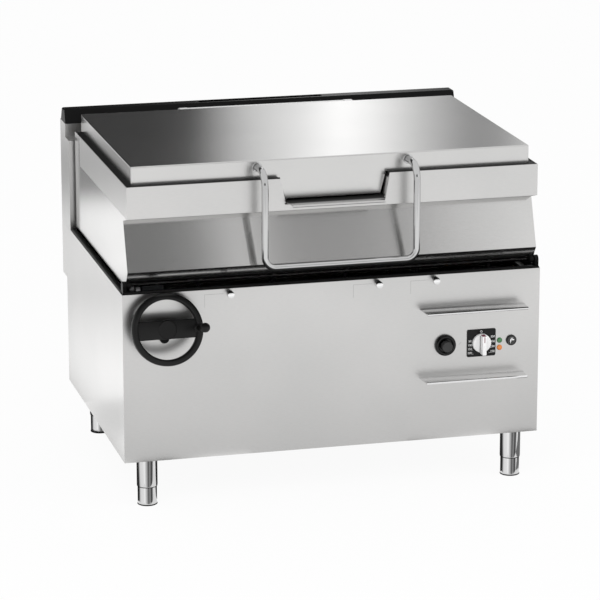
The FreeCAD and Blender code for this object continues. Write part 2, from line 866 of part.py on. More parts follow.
def pan_underframe():
    """Two rails and two cross bars under the vessel, which carry the tilting gear."""
    outer = rail_outer_x
    low = rail_bottom
    high = low + rail_height
    front = ear_tail - ear_radius
    rear = pan_rear - skin
    rail = block(outer - rail_width, outer, front, rear, low, high)
    plate_low = vessel_floor - vessel_wall - heat_plate
    bars = []
    for y in (vessel_front + 2 * hem, vessel_rear - 4 * hem):
        bars.append(block(-outer + rail_width, outer - rail_width, y, y + rail_width,
                          high - rail_height / 2.0, plate_low))
    end = block(outer - skin, pan_width / 2.0 - skin, rear - rail_width, rear, low, high)
    return join([rail, mirror(rail), end, mirror(end)] + bars)


def ear_inner_x():
    """Inner face of the ears that hold the tilting pins."""
    return pan_width / 2.0 - skin - ear_width


def pivot_ear():
    """Ear welded inside one side of the casing, with its pin."""
    x0 = ear_inner_x()
    x1 = pan_width / 2.0 - skin
    nose = rod(V(x0, tilt_depth, tilt_height), V(1, 0, 0), x1 - x0, ear_radius)
    low = pan_bottom + skin + seat_gap
    high = rail_bottom + rail_height
    tail = slab_x([(tilt_depth, low), (ear_tail, low), (ear_tail, high),
                   (fascia_foot + hem, high), (tilt_depth, tilt_height + ear_radius)], x0, x1)
    bridge = block(rail_outer_x, x0, ear_tail - ear_radius, ear_tail, rail_bottom, high)
    pin = rod(V(x0, tilt_depth, tilt_height), V(1, 0, 0), bearing_end - x0, tilt_pin_radius)
    return join([nose, tail, bridge, pin])


def tilt_sector():
    """Toothed sector under the left rail of the pan, with a window in its web."""
    centre = (tilt_depth, tilt_height)
    step = 2.0 * math.pi / sector_teeth_full
    count = int(math.ceil(math.radians(tilt_range) / step)) + spare_teeth
    first = math.radians(mesh_angle) - count * step
    angles = [first + step * i for i in range(count + spare_teeth + 1)]
    teeth = gear_outline(sector_teeth_full, angles, centre)
    front = ear_tail - ear_radius
    rear = teeth[-1][0]
    x0 = sector_centre_x - gear_width / 2.0
    x1 = sector_centre_x + gear_width / 2.0
    blank = slab_x(teeth + [(rear, rail_bottom), (front, rail_bottom)], x0, x1)
    radius = gear_module * (sector_teeth_full / 2.0 - root_modules) - sector_rim
    low = angles[0] + sector_rim / radius
    high = angles[-1] - sector_rim / radius
    sweep = [low + (high - low) * i / window_steps for i in range(window_steps + 1)]
    window = [(centre[0] + radius * math.cos(a), centre[1] + radius * math.sin(a)) for a in sweep]
    window += [(window[-1][0], rail_bottom - sector_rim), (front + sector_rim, rail_bottom - sector_rim)]
    return blank.cut(slab_x(window, x0 - 1.0, x1 + 1.0))


def pinion():
    """Pinion on its shaft, in mesh with the sector."""
    centre = pinion_centre(0)
    step = 2.0 * math.pi / pinion_teeth
    first = math.radians(mesh_angle) + math.pi + step / 2.0
    angles = [first + step * i for i in range(pinion_teeth)]
    outline = gear_outline(pinion_teeth, angles, (centre.y, centre.z))
    x0 = sector_centre_x - pinion_width / 2.0
    gear = slab_x(outline, x0, x0 + pinion_width)
    inner_end = gearbox_left() + pinion_bore_depth - 2.0
    shaft = rod(V(x0 - 4.0, centre.y, centre.z), V(1, 0, 0), inner_end - x0 + 4.0, pinion_shaft_radius)
    return join([gear, shaft])


def gearbox_left():
    """Left face of the gearbox, towards the pinion."""
    return wheel_x - gearbox_width / 2.0


def worm_point():
    """Point of the sloping shaft's axis that lies under the pinion's axis."""
    out = pinion_centre(wheel_x)
    axis = wheel_axis()
    start = outward(0.0)
    return start + axis * (out - start).dot(axis)


def tilt_gearbox():
    """Closed reduction gearbox between the sloping shaft and the pinion's shaft."""
    out = pinion_centre(wheel_x)
    worm = worm_point()
    x0 = gearbox_left()
    radius = gearbox_boss_radius
    top = rod(V(x0, out.y, out.z), V(1, 0, 0), gearbox_width, radius)
    low = rod(V(x0, worm.y, worm.z), V(1, 0, 0), gearbox_width, radius)
    rise = (out - worm).normalize()
    side = V(0, -rise.z, rise.y)
    corners = [worm + side * radius, out + side * radius, out - side * radius, worm - side * radius]
    waist = slab_x([(c.y, c.z) for c in corners], x0, x0 + gearbox_width)
    axis = wheel_axis()
    neck = rod(worm - axis * radius, axis, gearbox_input_reach + radius, gearbox_input_radius)
    boss = rod(V(x0 - gearbox_output_boss, out.y, out.z), V(1, 0, 0), gearbox_output_boss + 2.0,
               gearbox_output_share * radius)
    foot = block(x0, x0 + gearbox_width, worm.y - radius, worm.y + radius,
                 shelf_top(), worm.z)
    body = join([top, low, waist, neck, boss, foot])
    reach = gearbox_output_boss + 1.0
    output_bore = rod(V(x0 - reach, out.y, out.z), V(1, 0, 0), pinion_bore_depth + reach,
                      pinion_shaft_radius + run_gap)
    mouth = worm + axis * gearbox_input_reach
    input_bore = rod(mouth + axis, axis * -1, input_bore_depth + 1.0, input_shaft_radius + run_gap)
    return body.cut(output_bore).cut(input_bore)


def shelf_top():
    """Top of the shelf that the gearbox stands on."""
    return shelf_height + skin * 4


def gearbox_shelf():
    """Bracket from the left shelf rail to the gearbox."""
    worm = worm_point()
    outer = cabinet_width / 2.0 - 2 * skin - seat_gap
    half = gearbox_boss_radius + gearbox_foot_margin
    plate = block(-outer, gearbox_left() + gearbox_width, worm.y - half, worm.y + half,
                  shelf_height, shelf_top())
    inner = -outer + frame_leg + seat_gap
    web = slab_y([(inner, shelf_height), (gearbox_left() + gearbox_width, shelf_height),
                  (inner, shelf_height - 2 * frame_leg)], worm.y - half, worm.y - half + 2 * skin)
    return join([plate, web])


def handwheel():
    """Two-spoke handwheel: rounded rim, flat cross bar and hub."""
    axis = wheel_axis()
    rim = ring(outward(-wheel_rim / 2.0), axis, wheel_rim, wheel_radius, wheel_inner_radius)
    rounds = [edge for edge in rim.Edges if edge.Curve.TypeId == "Part::GeomCircle"]
    rim = rim.makeFillet(wheel_round, rounds)
    reach = (wheel_inner_radius + wheel_radius) / 2.0
    corners = [outward(-spoke_thickness / 2.0, -reach, -spoke_height / 2.0),
               outward(-spoke_thickness / 2.0, reach, -spoke_height / 2.0),
               outward(-spoke_thickness / 2.0, reach, spoke_height / 2.0),
               outward(-spoke_thickness / 2.0, -reach, spoke_height / 2.0)]
    bar = Part.Face(Part.makePolygon(corners + corners[:1])).extrude(axis * spoke_thickness)
    hub = rod(outward(spoke_thickness / 2.0 + 2.0 - hub_length), axis, hub_length, hub_radius)
    pad = rod(outward(-wheel_rim / 2.0, grip_offset), axis, wheel_rim, grip_ball_radius)
    wheel = join([rim, bar, hub, pad])
    bore = rod(outward(spoke_thickness / 2.0 - 1.0 - hub_length), axis, hub_length - 2.0,
               input_shaft_radius)
    return join([wheel.cut(bore), grip_pin()])


def input_shaft():
    """Sloping shaft from the handwheel's hub into the gearbox."""
    axis = wheel_axis()
    end = worm_point() + axis * (gearbox_input_reach - input_bore_depth + 2.0)
    start = outward(spoke_thickness / 2.0 - 3.0)
    return rod(end, axis, (start - end).Length, input_shaft_radius)


def shaft_flange():
    """Oblong bearing on the front panel that the sloping shaft runs in."""
    z = shaft_height_at(-flange_thickness / 2.0) - flange_drop
    y0 = -flange_thickness
    side = flange_lobe_radius
    middle = block(wheel_x - side, wheel_x + side, y0, 0, z - flange_lobe_offset, z + flange_lobe_offset)
    parts = [middle]
    for up in (1, -1):
        parts.append(rod(V(wheel_x, y0, z + up * flange_lobe_offset), V(0, 1, 0),
                         flange_thickness, flange_lobe_radius))
    bore = rod(outward(flange_bore_start), wheel_axis() * -1, flange_bore_length,
               input_shaft_radius + run_gap)
    return join(parts).cut(bore)


def grip_pin():
    """Spindle on the rim for the revolving grip."""
    start = outward(0.0, grip_offset)
    return rod(start, wheel_axis(), wheel_rim / 2.0 + grip_pin_reach, grip_pin_radius)


def wheel_grip():
    """Revolving grip: a slim foot that swells into a ball."""
    foot = wheel_rim / 2.0 + seat_gap
    ball_centre = foot + grip_length - grip_ball_radius
    shank = ball_centre - foot
    base = outward(foot, grip_offset)
    axis = wheel_axis()
    cone = Part.makeCone(grip_foot_radius, grip_ball_radius * grip_cone_share,
                        shank * grip_shank_share, base, axis)
    ball = Part.makeSphere(grip_ball_radius, outward(ball_centre, grip_offset))
    grip = join([cone, ball])
    bore = rod(outward(0.0, grip_offset), axis, wheel_rim / 2.0 + grip_pin_reach + body_gap,
               grip_pin_radius + run_gap)
    return grip.cut(bore)


def lid_shell():
    """Outer lid: flat top, skirt all round and the tongue over the spout."""
    half = lid_width / 2.0
    low = lid_top - lid_skirt
    shell = lid_form(half, lid_front, lid_rear, low, lid_top, lid_round)
    hollow = lid_form(half - skin, lid_front + skin, lid_rear - skin, low - open_end,
                      lid_top - skin, lid_round - skin)
    outline = [(-tongue_half_width, tongue_bottom), (tongue_half_width, tongue_bottom),
               (tongue_top_half_width, tongue_shoulder), (tongue_top_half_width, low + hem),
               (-tongue_top_half_width, low + hem), (-tongue_top_half_width, tongue_shoulder)]
    tongue = slab_y(outline, lid_front, lid_front + skin)
    return join([shell.cut(hollow), tongue])


def lid_form(half, front, rear, low, high, rounding):
    """Box whose upright and upper edges are rounded."""
    form = block(-half, half, front, rear, low, high)
    uprights = edges_along(form, V(0, 0, 1), lambda c: True)
    form = form.makeFillet(rounding, uprights)
    top_edges = [edge for edge in form.Edges if edge.BoundBox.ZMin > high - pick_fine]
    return form.makeFillet(rounding * inner_round_share, top_edges)


def lid_liner():
    """Inner sheet of the lid, a shallow tray turned upwards."""
    half = lid_width / 2.0 - skin - seat_gap
    front = lid_front + skin + seat_gap
    rear = lid_rear - skin - seat_gap
    low = lid_top - lid_skirt + liner_lift
    tray = block(-half, half, front, rear, low, low + liner_height)
    tray = tray.makeFillet(lid_round, edges_along(tray, V(0, 0, 1), lambda c: True))
    room = block(-half + skin, half - skin, front + skin, rear - skin, low + skin,
                 low + liner_height + 1.0)
    return tray.cut(room)


def lid_handle():
    """Round bar handle that hangs in front of the pan."""
    x = handle_half_width
    y0 = lid_front
    y1 = -handle_reach
    points = [V(-x, y0, handle_top), V(-x, y1, handle_top), V(-x, y1, handle_bottom),
              V(x, y1, handle_bottom), V(x, y1, handle_top), V(x, y0, handle_top)]
    return bent_rod(points, handle_bend, handle_radius)


def handle_collars():
    """Rings round the handle's ends, against the lid's skirt."""
    collar = rod(V(handle_half_width, lid_front - collar_length, handle_top), V(0, 1, 0),
                 collar_length, collar_radius)
    return both_sides(collar)


def hinge_arm_x():
    """Inner face of the right hinge arm."""
    return hinge_tube_half_width + 2 * body_gap


def hinge_arms():
    """Two arms from the lid's rear skirt to the ends of the hinge shaft."""
    x0 = hinge_arm_x()
    x1 = x0 + hinge_arm_width
    hub = rod(V(x0, hinge_depth, hinge_height), V(1, 0, 0), hinge_arm_width, hinge_arm_radius)
    low = lid_top - lid_skirt + hinge_arm_lift
    high = lid_top - lid_round - 1.0
    web = slab_x([(lid_rear, low), (hinge_depth, hinge_height - hinge_arm_radius * hinge_arm_share),
                  (hinge_depth, hinge_height + hinge_arm_radius), (lid_rear, high)], x0, x1)
    bore = rod(V(x0 - 1.0, hinge_depth, hinge_height), V(1, 0, 0), hinge_arm_width + 2.0,
               hinge_shaft_radius + run_gap / 2.0)
    return both_sides(join([hub, web]).cut(bore))


def hinge_shaft():
    """Shaft that turns with the lid."""
    reach = hinge_arm_x() + hinge_arm_width
    return rod(V(-reach, hinge_depth, hinge_height), V(1, 0, 0), 2 * reach, hinge_shaft_radius)


def hinge_tube():
    """Round housing of the lid's balance springs, behind the pan."""
    reach = hinge_tube_half_width
    return ring(V(-reach, hinge_depth, hinge_height), V(1, 0, 0), 2 * reach,
                hinge_tube_radius, hinge_tube_radius - hinge_tube_wall)


def hinge_bushes():
    """Bearing bushes in the ends of the hinge housing."""
    bush = ring(V(hinge_tube_half_width - bush_length, hinge_depth, hinge_height), V(1, 0, 0),
                bush_length, hinge_tube_radius - hinge_tube_wall, hinge_shaft_radius + run_gap)
    return both_sides(bush)


def balance_springs():
    """Two torsion springs round the hinge shaft, as closed sleeves against the bushes."""
    start = hinge_tube_half_width - bush_length - spring_length
    spring = ring(V(start, hinge_depth, hinge_height), V(1, 0, 0), spring_length,
                  spring_outer_radius, spring_inner_radius)
    return both_sides(spring)


def hinge_brackets():
    """Brackets that carry the hinge housing on the pan's rear wall."""
    x0 = hinge_bracket_x
    x1 = x0 + hinge_bracket_width
    low = fascia_top_height
    clear = column_front - 4 * body_gap
    plate = slab_x([(pan_rear, low), (pan_rear + 4 * body_gap, low), (clear - 4 * body_gap, low + 2 * hem),
                    (clear - 4 * body_gap, column_ledge), (hinge_depth, hinge_height),
                    (hinge_depth, hinge_height + hinge_tube_radius * hinge_bracket_share),
                    (hinge_depth - hinge_tube_radius, hinge_height), (pan_rear, rim_level - hem)], x0, x1)
    room = rod(V(x0 - 1.0, hinge_depth, hinge_height), V(1, 0, 0), hinge_bracket_width + 2.0,
               hinge_tube_radius)
    return both_sides(plate.cut(room))


def column_outline():
    """Side outline of the flue column."""
    foot = cabinet_top + seat_gap
    behind = cabinet_depth + seat_gap
    return [(column_front, foot), (column_front, column_ledge), (column_neck, column_ledge),
            (column_neck, column_top), (column_rear, column_top), (column_rear, column_foot),
            (behind, column_foot), (behind, foot)]


def flue_column():
    """Column behind the pan: folded front and rear sheets between two end plates."""
    half = cabinet_width / 2.0
    outline = column_outline()
    front = slab_x(sheet_outline(outline[:4], skin), -half + skin, half - skin)
    rear_line = outline[4:] + [(column_front + skin, outline[0][1])]
    rear = slab_x(sheet_outline(rear_line, skin), -half + skin, half - skin)
    end = slab_x(outline, half - skin, half)
    wall = cabinet_depth + seat_gap
    flue = block(-duct_half_width, duct_half_width, wall - skin, wall + 2 * skin,
                 duct_bottom, duct_top)
    pipe = rod(V(water_inlet_x, wall - skin, duct_bottom), V(0, 1, 0), 3 * skin,
               water_pipe_radius + seat_gap)
    return Part.makeCompound([front, rear.cut(flue).cut(pipe), end, mirror(end)])


def flue_cap():
    """Black hood on the column, with the outlet slot in its top."""
    half = cabinet_width / 2.0
    foot = column_top + seat_gap
    outer = slab_x([(cap_front_foot, foot), (cap_front_top, cap_top), (cap_rear_top, cap_top),
                    (cap_rear_foot, foot)], -half, half)
    ends = [edge for edge in outer.Edges
            if edge.BoundBox.ZMin > cap_top - pick_fine and edge.BoundBox.XLength < pick_fine]
    outer = outer.makeFillet(cap_end_round, ends)
    hollow = slab_x([(cap_front_foot + 2 * skin, foot - 1.0), (cap_front_top + 2 * skin, cap_top - skin),
                     (cap_rear_top - 2 * skin, cap_top - skin), (cap_rear_foot - 2 * skin, foot - 1.0)],
                    -half + cap_end_round + skin, half - cap_end_round - skin)
    outlet = block(-outlet_half_width, outlet_half_width, cap_front_top + 6 * skin,
                   cap_rear_top - 4 * skin, cap_top - 3 * skin, cap_top + 1.0)
    return outer.cut(hollow).cut(outlet)


def flue_duct():
    """Rectangular duct from the burner space to the column."""
    reach = cabinet_depth + seat_gap + skin
    outer = block(-duct_half_width, duct_half_width, duct_mouth, reach, duct_bottom, duct_top)
    inner = block(-duct_half_width + skin, duct_half_width - skin, duct_mouth - 1.0, reach + 1.0,
                  duct_bottom + skin, duct_top - skin)
    return outer.cut(inner)


def burner_places():
    """X positions of the burner tubes."""
    step = burner_spread / (burner_count - 1)
    return [burner_centre_x - burner_spread / 2.0 + step * i for i in range(burner_count)]


def burner_tubes():
    """Burner tubes under the vessel, closed at the back."""
    tubes = []
    for x in burner_places():
        tube = rod(V(x, burner_front, burner_height), V(0, 1, 0), burner_rear - burner_front,
                   burner_radius)
        bore = rod(V(x, burner_front - 1.0, burner_height), V(0, 1, 0),
                   burner_rear - burner_front - burner_wall, burner_radius - burner_wall)
        tubes.append(tube.cut(bore))
    return Part.makeCompound(tubes)


def burner_rails():
    """Two cross rails that the burner tubes lie on, between the side rails."""
    outer = cabinet_width / 2.0 - 2 * skin - seat_gap - frame_wall
    low = burner_rail_height
    high = burner_height - burner_radius
    rails = []
    for y in (burner_rail_front, burner_rail_rear):
        foot = block(-outer, outer, y, y + frame_leg, low, low + frame_wall)
        web = block(-outer + frame_leg, outer - frame_leg, y, y + frame_wall, low + frame_wall, high)
        rails.append(join([foot, web]))
    return Part.makeCompound(rails)


def heat_shield():
    """Sheet below the burners, which keeps the heat out of the cabinet."""
    right = cabinet_width / 2.0 - 2 * skin - seat_gap - frame_leg
    return block(shield_left, right, burner_rail_front, duct_mouth - seat_gap,
                 burner_rail_height - skin, burner_rail_height)


def gas_manifold():
    """Pipe across the burners' mouths with one injector for each tube."""
    places = burner_places()
    y = manifold_depth
    z = manifold_height
    pipe = rod(V(places[0] - 2 * hem, y, z), V(1, 0, 0), places[-1] - places[0] + 4 * hem,
               manifold_radius)
    pieces = [pipe]
    for x in places:
        riser = rod(V(x, y, z), V(0, 0, 1), burner_height - z, riser_radius)
        nozzle = rod(V(x, y - injector_radius, burner_height), V(0, 1, 0),
                     burner_front + injector_radius + injector_overlap - y, injector_radius)
        pieces += [riser, nozzle]
    return join(pieces)


def gas_valve():
    """Thermostatic gas valve behind the knob, with its spindle through the panel."""
    body = rod(V(dial_x, valve_depth, dial_z), V(0, 1, 0), valve_length, valve_radius)
    neck = rod(V(dial_x, valve_depth - valve_neck_length, dial_z), V(0, 1, 0), valve_neck_length + 2.0,
               valve_radius * valve_neck_share)
    inlet = rod(V(dial_x, valve_depth + valve_length / 2.0, dial_z - valve_radius - valve_port), V(0, 0, 1),
                valve_radius + valve_port, gas_stub_radius + valve_port_wall)
    outlet = rod(V(dial_x, valve_depth + valve_length / 2.0, dial_z), V(0, 0, 1),
                 valve_radius + valve_port, gas_stub_radius + valve_port_wall)
    body = join([body, neck, inlet, outlet])
    bore = rod(V(dial_x, valve_depth - valve_neck_length - 1.0, dial_z), V(0, 1, 0), valve_bore_depth,
               knob_spindle_radius + run_gap)
    return body.cut(bore)


def valve_bracket():
    """Bracket that holds the gas valve to the front panel."""
    y0 = skin
    width = valve_radius + valve_bracket_gap
    tall = valve_bracket_half_height
    post = block(dial_x - width, dial_x - width + 2 * skin, y0, valve_depth, dial_z - tall, dial_z + tall)
    other = block(dial_x + width - 2 * skin, dial_x + width, y0, valve_depth, dial_z - tall, dial_z + tall)
    bridge = block(dial_x - width, dial_x + width, valve_depth - 2 * skin, valve_depth,
                   dial_z - tall, dial_z + tall)
    hole = rod(V(dial_x, valve_depth - 4 * skin, dial_z), V(0, 1, 0), 6 * skin,
               valve_radius * valve_neck_share + seat_gap)
    return join([post, other, bridge]).cut(hole)


def inlet_stub(x, z, radius):
    """Threaded end of an inlet, a little way behind the cabinet."""
    return rod(V(x, cabinet_depth + stub_reach - stub_length, z), V(0, 1, 0), stub_length, radius)


def gas_supply_pipe():
    """Pipe from the inlet stub at the back to the gas valve."""
    y = valve_depth + valve_length / 2.0
    start = cabinet_depth + stub_reach - stub_length / 2.0
    top = dial_z - valve_radius - valve_port - seat_gap
    points = [V(gas_x, start, gas_inlet_z), V(gas_x, y + gas_turn, gas_inlet_z),
              V(dial_x, y, gas_inlet_z), V(dial_x, y, top)]
    return join([bent_rod(points, gas_bend, gas_radius), inlet_stub(gas_x, gas_inlet_z, gas_stub_radius)])


def gas_feed_pipe():
    """Pipe from the gas valve to the manifold."""
    y = valve_depth + valve_length / 2.0
    bottom = dial_z + valve_radius + valve_port + seat_gap
    top = manifold_height - manifold_radius - seat_gap
    middle = (bottom + top) / 2.0
    x_end = burner_places()[-1] - hem
    points = [V(dial_x, y, bottom), V(dial_x, y, middle), V(x_end, manifold_depth, middle),
              V(x_end, manifold_depth, top)]
    return bent_rod(points, 2.0 * manifold_radius, gas_radius)


def igniter_bezel():
    """Round black bezel with a deep recess for the ignition button."""
    cup = Part.makeCone(bezel_radius, bezel_radius - 3.0, bezel_height, V(igniter_x, 0, igniter_z),
                        V(0, -1, 0))
    recess = rod(V(igniter_x, -bezel_height - 1.0, igniter_z), V(0, 1, 0),
                 bezel_height + 1.0 - bezel_floor, bezel_bore)
    through = rod(V(igniter_x, -bezel_height, igniter_z), V(0, 1, 0), bezel_height + 1.0,
                  igniter_stem_radius + body_gap)
    return cup.cut(recess).cut(through)


def ignition_button():
    """Push button with its stem."""
    cap_rear = bezel_floor + igniter_travel + body_gap
    cap = rod(V(igniter_x, -igniter_front, igniter_z), V(0, 1, 0), igniter_front - cap_rear,
              igniter_radius)
    rim = [edge for edge in cap.Edges if edge.BoundBox.YMax < -igniter_front + pick_fine]
    cap = cap.makeFillet(2.0, rim)
    stem = rod(V(igniter_x, -cap_rear - 1.0, igniter_z), V(0, 1, 0),
               cap_rear + 1.0 + igniter_stem_reach, igniter_stem_radius)
    return join([cap, stem])


def igniter_body():
    """Piezo unit behind the panel that the button strikes."""
    y0 = skin
    shell = rod(V(igniter_x, y0, igniter_z), V(0, 1, 0), igniter_body_length,
                2.0 * igniter_stem_radius)
    bore = rod(V(igniter_x, -1.0, igniter_z), V(0, 1, 0),
               1.0 + igniter_stem_reach + igniter_travel + body_gap, igniter_stem_radius + body_gap)
    return shell.cut(bore)


def lamp(z):
    """Round indicator lamp with a low dome and its body behind the panel."""
    head = rod(V(lamp_x, -lamp_front, z), V(0, 1, 0), lamp_front, lamp_radius)
    rim = [edge for edge in head.Edges if edge.BoundBox.YMax < -lamp_front + pick_fine]
    head = head.makeFillet(lamp_front * lamp_dome_share, rim)
    body = rod(V(lamp_x, -skin, z), V(0, 1, 0), lamp_body_length, lamp_body_radius)
    return join([head, body])


def water_bezel():
    """Ring round the water button."""
    return ring(V(water_x, -water_front + 1.0, water_z), V(0, 1, 0), water_front - 1.0,
                water_bezel_radius, water_radius + body_gap)


def water_button():
    """Sprung button that opens the water valve."""
    cap = rod(V(water_x, -water_front, water_z), V(0, 1, 0), water_front - water_travel - body_gap + seat_gap,
              water_radius)
    stem = rod(V(water_x, -water_front + body_gap, water_z), V(0, 1, 0), water_front + water_stem_reach,
               water_stem_radius)
    return join([cap, stem])


def water_switch():
    """Switch body behind the water button."""
    y0 = skin
    shell = rod(V(water_x, y0, water_z), V(0, 1, 0), water_switch_length,
                water_switch_share * water_stem_radius)
    bore = rod(V(water_x, y0 - 1.0, water_z), V(0, 1, 0), water_stem_reach + water_travel + 2.0,
               water_stem_radius + body_gap)
    return shell.cut(bore)


def dial_plate():
    """Black plate with rounded corners behind the knob."""
    w = dial_width / 2.0
    h = dial_height / 2.0
    plate = block(dial_x - w, dial_x + w, -dial_thickness, 0, dial_z - h, dial_z + h)
    plate = plate.makeFillet(dial_corner, edges_along(plate, V(0, 1, 0), lambda c: True))
    return plate.cut(rod(V(dial_x, -2 * dial_thickness, dial_z), V(0, 1, 0), 3 * dial_thickness,
                         knob_spindle_radius + 3.0))


def thermostat_knob():
    """Round knob with a raised grip bar and its spindle."""
    rear = -dial_thickness - body_gap
    disc = Part.makeCone(knob_radius, knob_radius - knob_draft, knob_front + rear,
                         V(dial_x, rear, dial_z), V(0, -1, 0))
    half = knob_bar_width / 2.0
    reach = knob_bar_length / 2.0
    bar = block(dial_x - half, dial_x + half, -knob_bar_front, -knob_front + knob_bar_sink,
                dial_z - reach, dial_z + reach)
    bar = bar.makeFillet(knob_bar_round, edges_along(bar, V(1, 0, 0),
                                                     lambda c: c.y < -knob_bar_front + pick_margin))
    spindle = rod(V(dial_x, -knob_front + 2.0, dial_z), V(0, 1, 0),
                  knob_front - 2.0 + valve_depth - knob_spindle_sink, knob_spindle_radius)
    return join([disc, bar, spindle])


def panel_studs():
    """Three round studs in a row under the front panel's upper edge."""
    studs = []
    for x in stud_places:
        stud = rod(V(x, -stud_length, stud_z), V(0, 1, 0), stud_length, stud_radius)
        rim = [edge for edge in stud.Edges if edge.BoundBox.YMax < -stud_length + pick_fine]
        studs.append(stud.makeFillet(stud_round, rim))
    return Part.makeCompound(studs)


def guard_rail(z):
    """Ledge that guards the controls, with a round bead along its front."""
    taper = guard_taper
    plate = slab_z([(guard_left, 0), (guard_left + taper, -guard_reach + guard_bead),
                    (guard_right - taper, -guard_reach + guard_bead), (guard_right, 0)],
                   z - guard_sheet / 2.0, z + guard_sheet / 2.0)
    bead = rod(V(guard_left + taper, -guard_reach + guard_bead, z), V(1, 0, 0),
               guard_right - guard_left - 2 * taper, guard_bead)
    return join([plate, bead])


def control_box():
    """Electrical box behind the controls."""
    return block(box_left, box_right, box_front, box_front + box_depth, box_bottom, box_top)


def box_bracket():
    """Plate that fixes the electrical box to the right side panel."""
    outer = cabinet_width / 2.0 - skin
    return block(box_right, outer, box_front, box_front + box_depth, box_top - 2 * frame_wall, box_top)


def water_valve():
    """Solenoid valve with the water inlet thread through the back."""
    y = cabinet_depth - water_valve_inset
    neck = rod(V(water_inlet_x, y, water_inlet_z), V(0, 1, 0),
               water_valve_inset + stub_reach - stub_length / 2.0, water_neck_radius)
    inlet = inlet_stub(water_inlet_x, water_inlet_z, water_inlet_radius)
    half = water_valve_half_width
    tall = water_valve_half_height
    body = block(water_inlet_x - half, water_inlet_x + half, y - water_valve_depth, y,
                 water_inlet_z - tall, water_inlet_z + tall)
    coil = rod(V(water_inlet_x, y - water_valve_depth / 2.0, water_inlet_z + tall), V(0, 0, 1),
               solenoid_height, solenoid_radius)
    return join([neck, inlet, body, coil])


def water_pipe():
    """Pipe from the valve up into the column."""
    y = cabinet_depth - water_valve_inset - water_valve_depth / 2.0
    start = V(water_inlet_x, y, water_inlet_z + water_valve_half_height + solenoid_height + seat_gap)
    inside = cabinet_depth + seat_gap + skin + (column_rear - cabinet_depth) / 2.0
    points = [start, V(water_inlet_x, y, duct_bottom), V(water_inlet_x, inside, duct_bottom),
              V(water_inlet_x, inside, column_ledge - hem)]
    return bent_rod(points, water_bend, water_pipe_radius)


def machine_reach():
    """Foremost and rearmost depth of the whole machine."""
    ball = outward(wheel_rim / 2.0 + seat_gap + grip_length - grip_ball_radius, grip_offset)
    front = min(ball.y - grip_ball_radius, -handle_reach - handle_radius)
    rear = max(column_rear, cabinet_depth + stub_reach)
    return front, rear


def store(pieces):
    """Write one file for each node, with the origin under the middle of the machine."""
    os.makedirs("parts", exist_ok=True)
    front, rear = machine_reach()
    shift = V(0, -(front + rear) / 2.0, 0)
    for name, shape in pieces.items():
        placed = shape.copy()
        placed.translate(shift)
        placed.exportStep(os.path.join("parts", name + ".step"))
    print("depth of the origin behind the front panel: %.3f" % ((front + rear) / 2.0))


def cabinet_pieces():
    """Nodes that stand still."""
    return {
        "front_panel": front_panel(),
        "side_panel_left": mirror(side_panel()),
        "side_panel_right": side_panel(),
        "rear_panel": rear_panel(),
        "base_tray": base_tray(),
        "cabinet_frame": join([cabinet_frame(), gearbox_shelf()]),
        "rim_trim": rim_trim(),
        "pivot_bearings": both_sides(pivot_bearing()),
        "leg_sockets": leg_sockets(),
        "flue_column": flue_column(),
        "flue_cap": flue_cap(),
        "flue_duct": flue_duct(),
        "burner_tubes": burner_tubes(),
        "burner_rails": burner_rails(),
        "heat_shield": heat_shield(),
        "gas_manifold": Part.makeCompound([gas_manifold(), gas_feed_pipe()]),
        "gas_valve": Part.makeCompound([gas_valve(), valve_bracket()]),
        "gas_supply_pipe": gas_supply_pipe(),
        "tilt_gearbox": tilt_gearbox(),
        "shaft_flange": shaft_flange(),
        "igniter_bezel": igniter_bezel(),
        "igniter_body": igniter_body(),
        "power_lamp": lamp(lamp_high_z),
        "burner_lamp": lamp(lamp_low_z),
        "water_switch": Part.makeCompound([water_bezel(), water_switch()]),
        "dial_plate": dial_plate(),
        "panel_studs": panel_studs(),
        "guard_rail_upper": guard_rail(guard_high_z),
        "guard_rail_lower": guard_rail(guard_low_z),
        "control_box": join([control_box(), box_bracket()]),
        "water_valve": water_valve(),
        "water_pipe": water_pipe(),
    }


def pan_pieces():
    """Nodes that tilt."""
    return {
        "pan_casing": pan_casing(),
        "rim_band": rim_band(),
        "vessel": vessel(),
        "heating_plate": heating_plate(),
        "rim_gasket": rim_gasket(),
        "spout": spout(),
        "pan_underframe": pan_underframe(),
        "pivot_ears": both_sides(pivot_ear()),
        "tilt_sector": tilt_sector(),
        "hinge_tube": join([hinge_tube()] + hinge_brackets().Solids),
        "hinge_bushes": hinge_bushes(),
        "balance_springs": balance_springs(),
    }


def moving_pieces():
    """Nodes of the lid, the handwheel, the pinion, the controls and the feet."""
    pieces = {
        "lid_shell": lid_shell(),
        "lid_liner": lid_liner(),
        "lid_handle": join([lid_handle()] + handle_collars().Solids),
        "hinge_arms": hinge_arms(),
        "hinge_shaft": hinge_shaft(),
        "pinion": pinion(),
        "handwheel": handwheel(),
        "input_shaft": input_shaft(),
        "wheel_grip": wheel_grip(),
        "thermostat_knob": thermostat_knob(),
        "ignition_button": ignition_button(),
        "water_button": water_button(),
    }
    names = ("front_left", "front_right", "rear_left", "rear_right")
    for name, (x, y) in zip(names, leg_places()):
        pieces["foot_" + name] = levelling_foot(x, y)
    return pieces


def main():
    pieces = {}
    pieces.update(cabinet_pieces())
    pieces.update(pan_pieces())
    pieces.update(moving_pieces())
    store(pieces)


main()
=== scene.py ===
"""Looks of the tilting bratt pan: finishes, rounded fittings, dial marks, light and camera.

Lengths in Blender are in metres, and MM turns a size in millimetres into metres. Card places are in metres.
"""

import json
import math

import bmesh
import bpy
from mathutils import Matrix, Vector


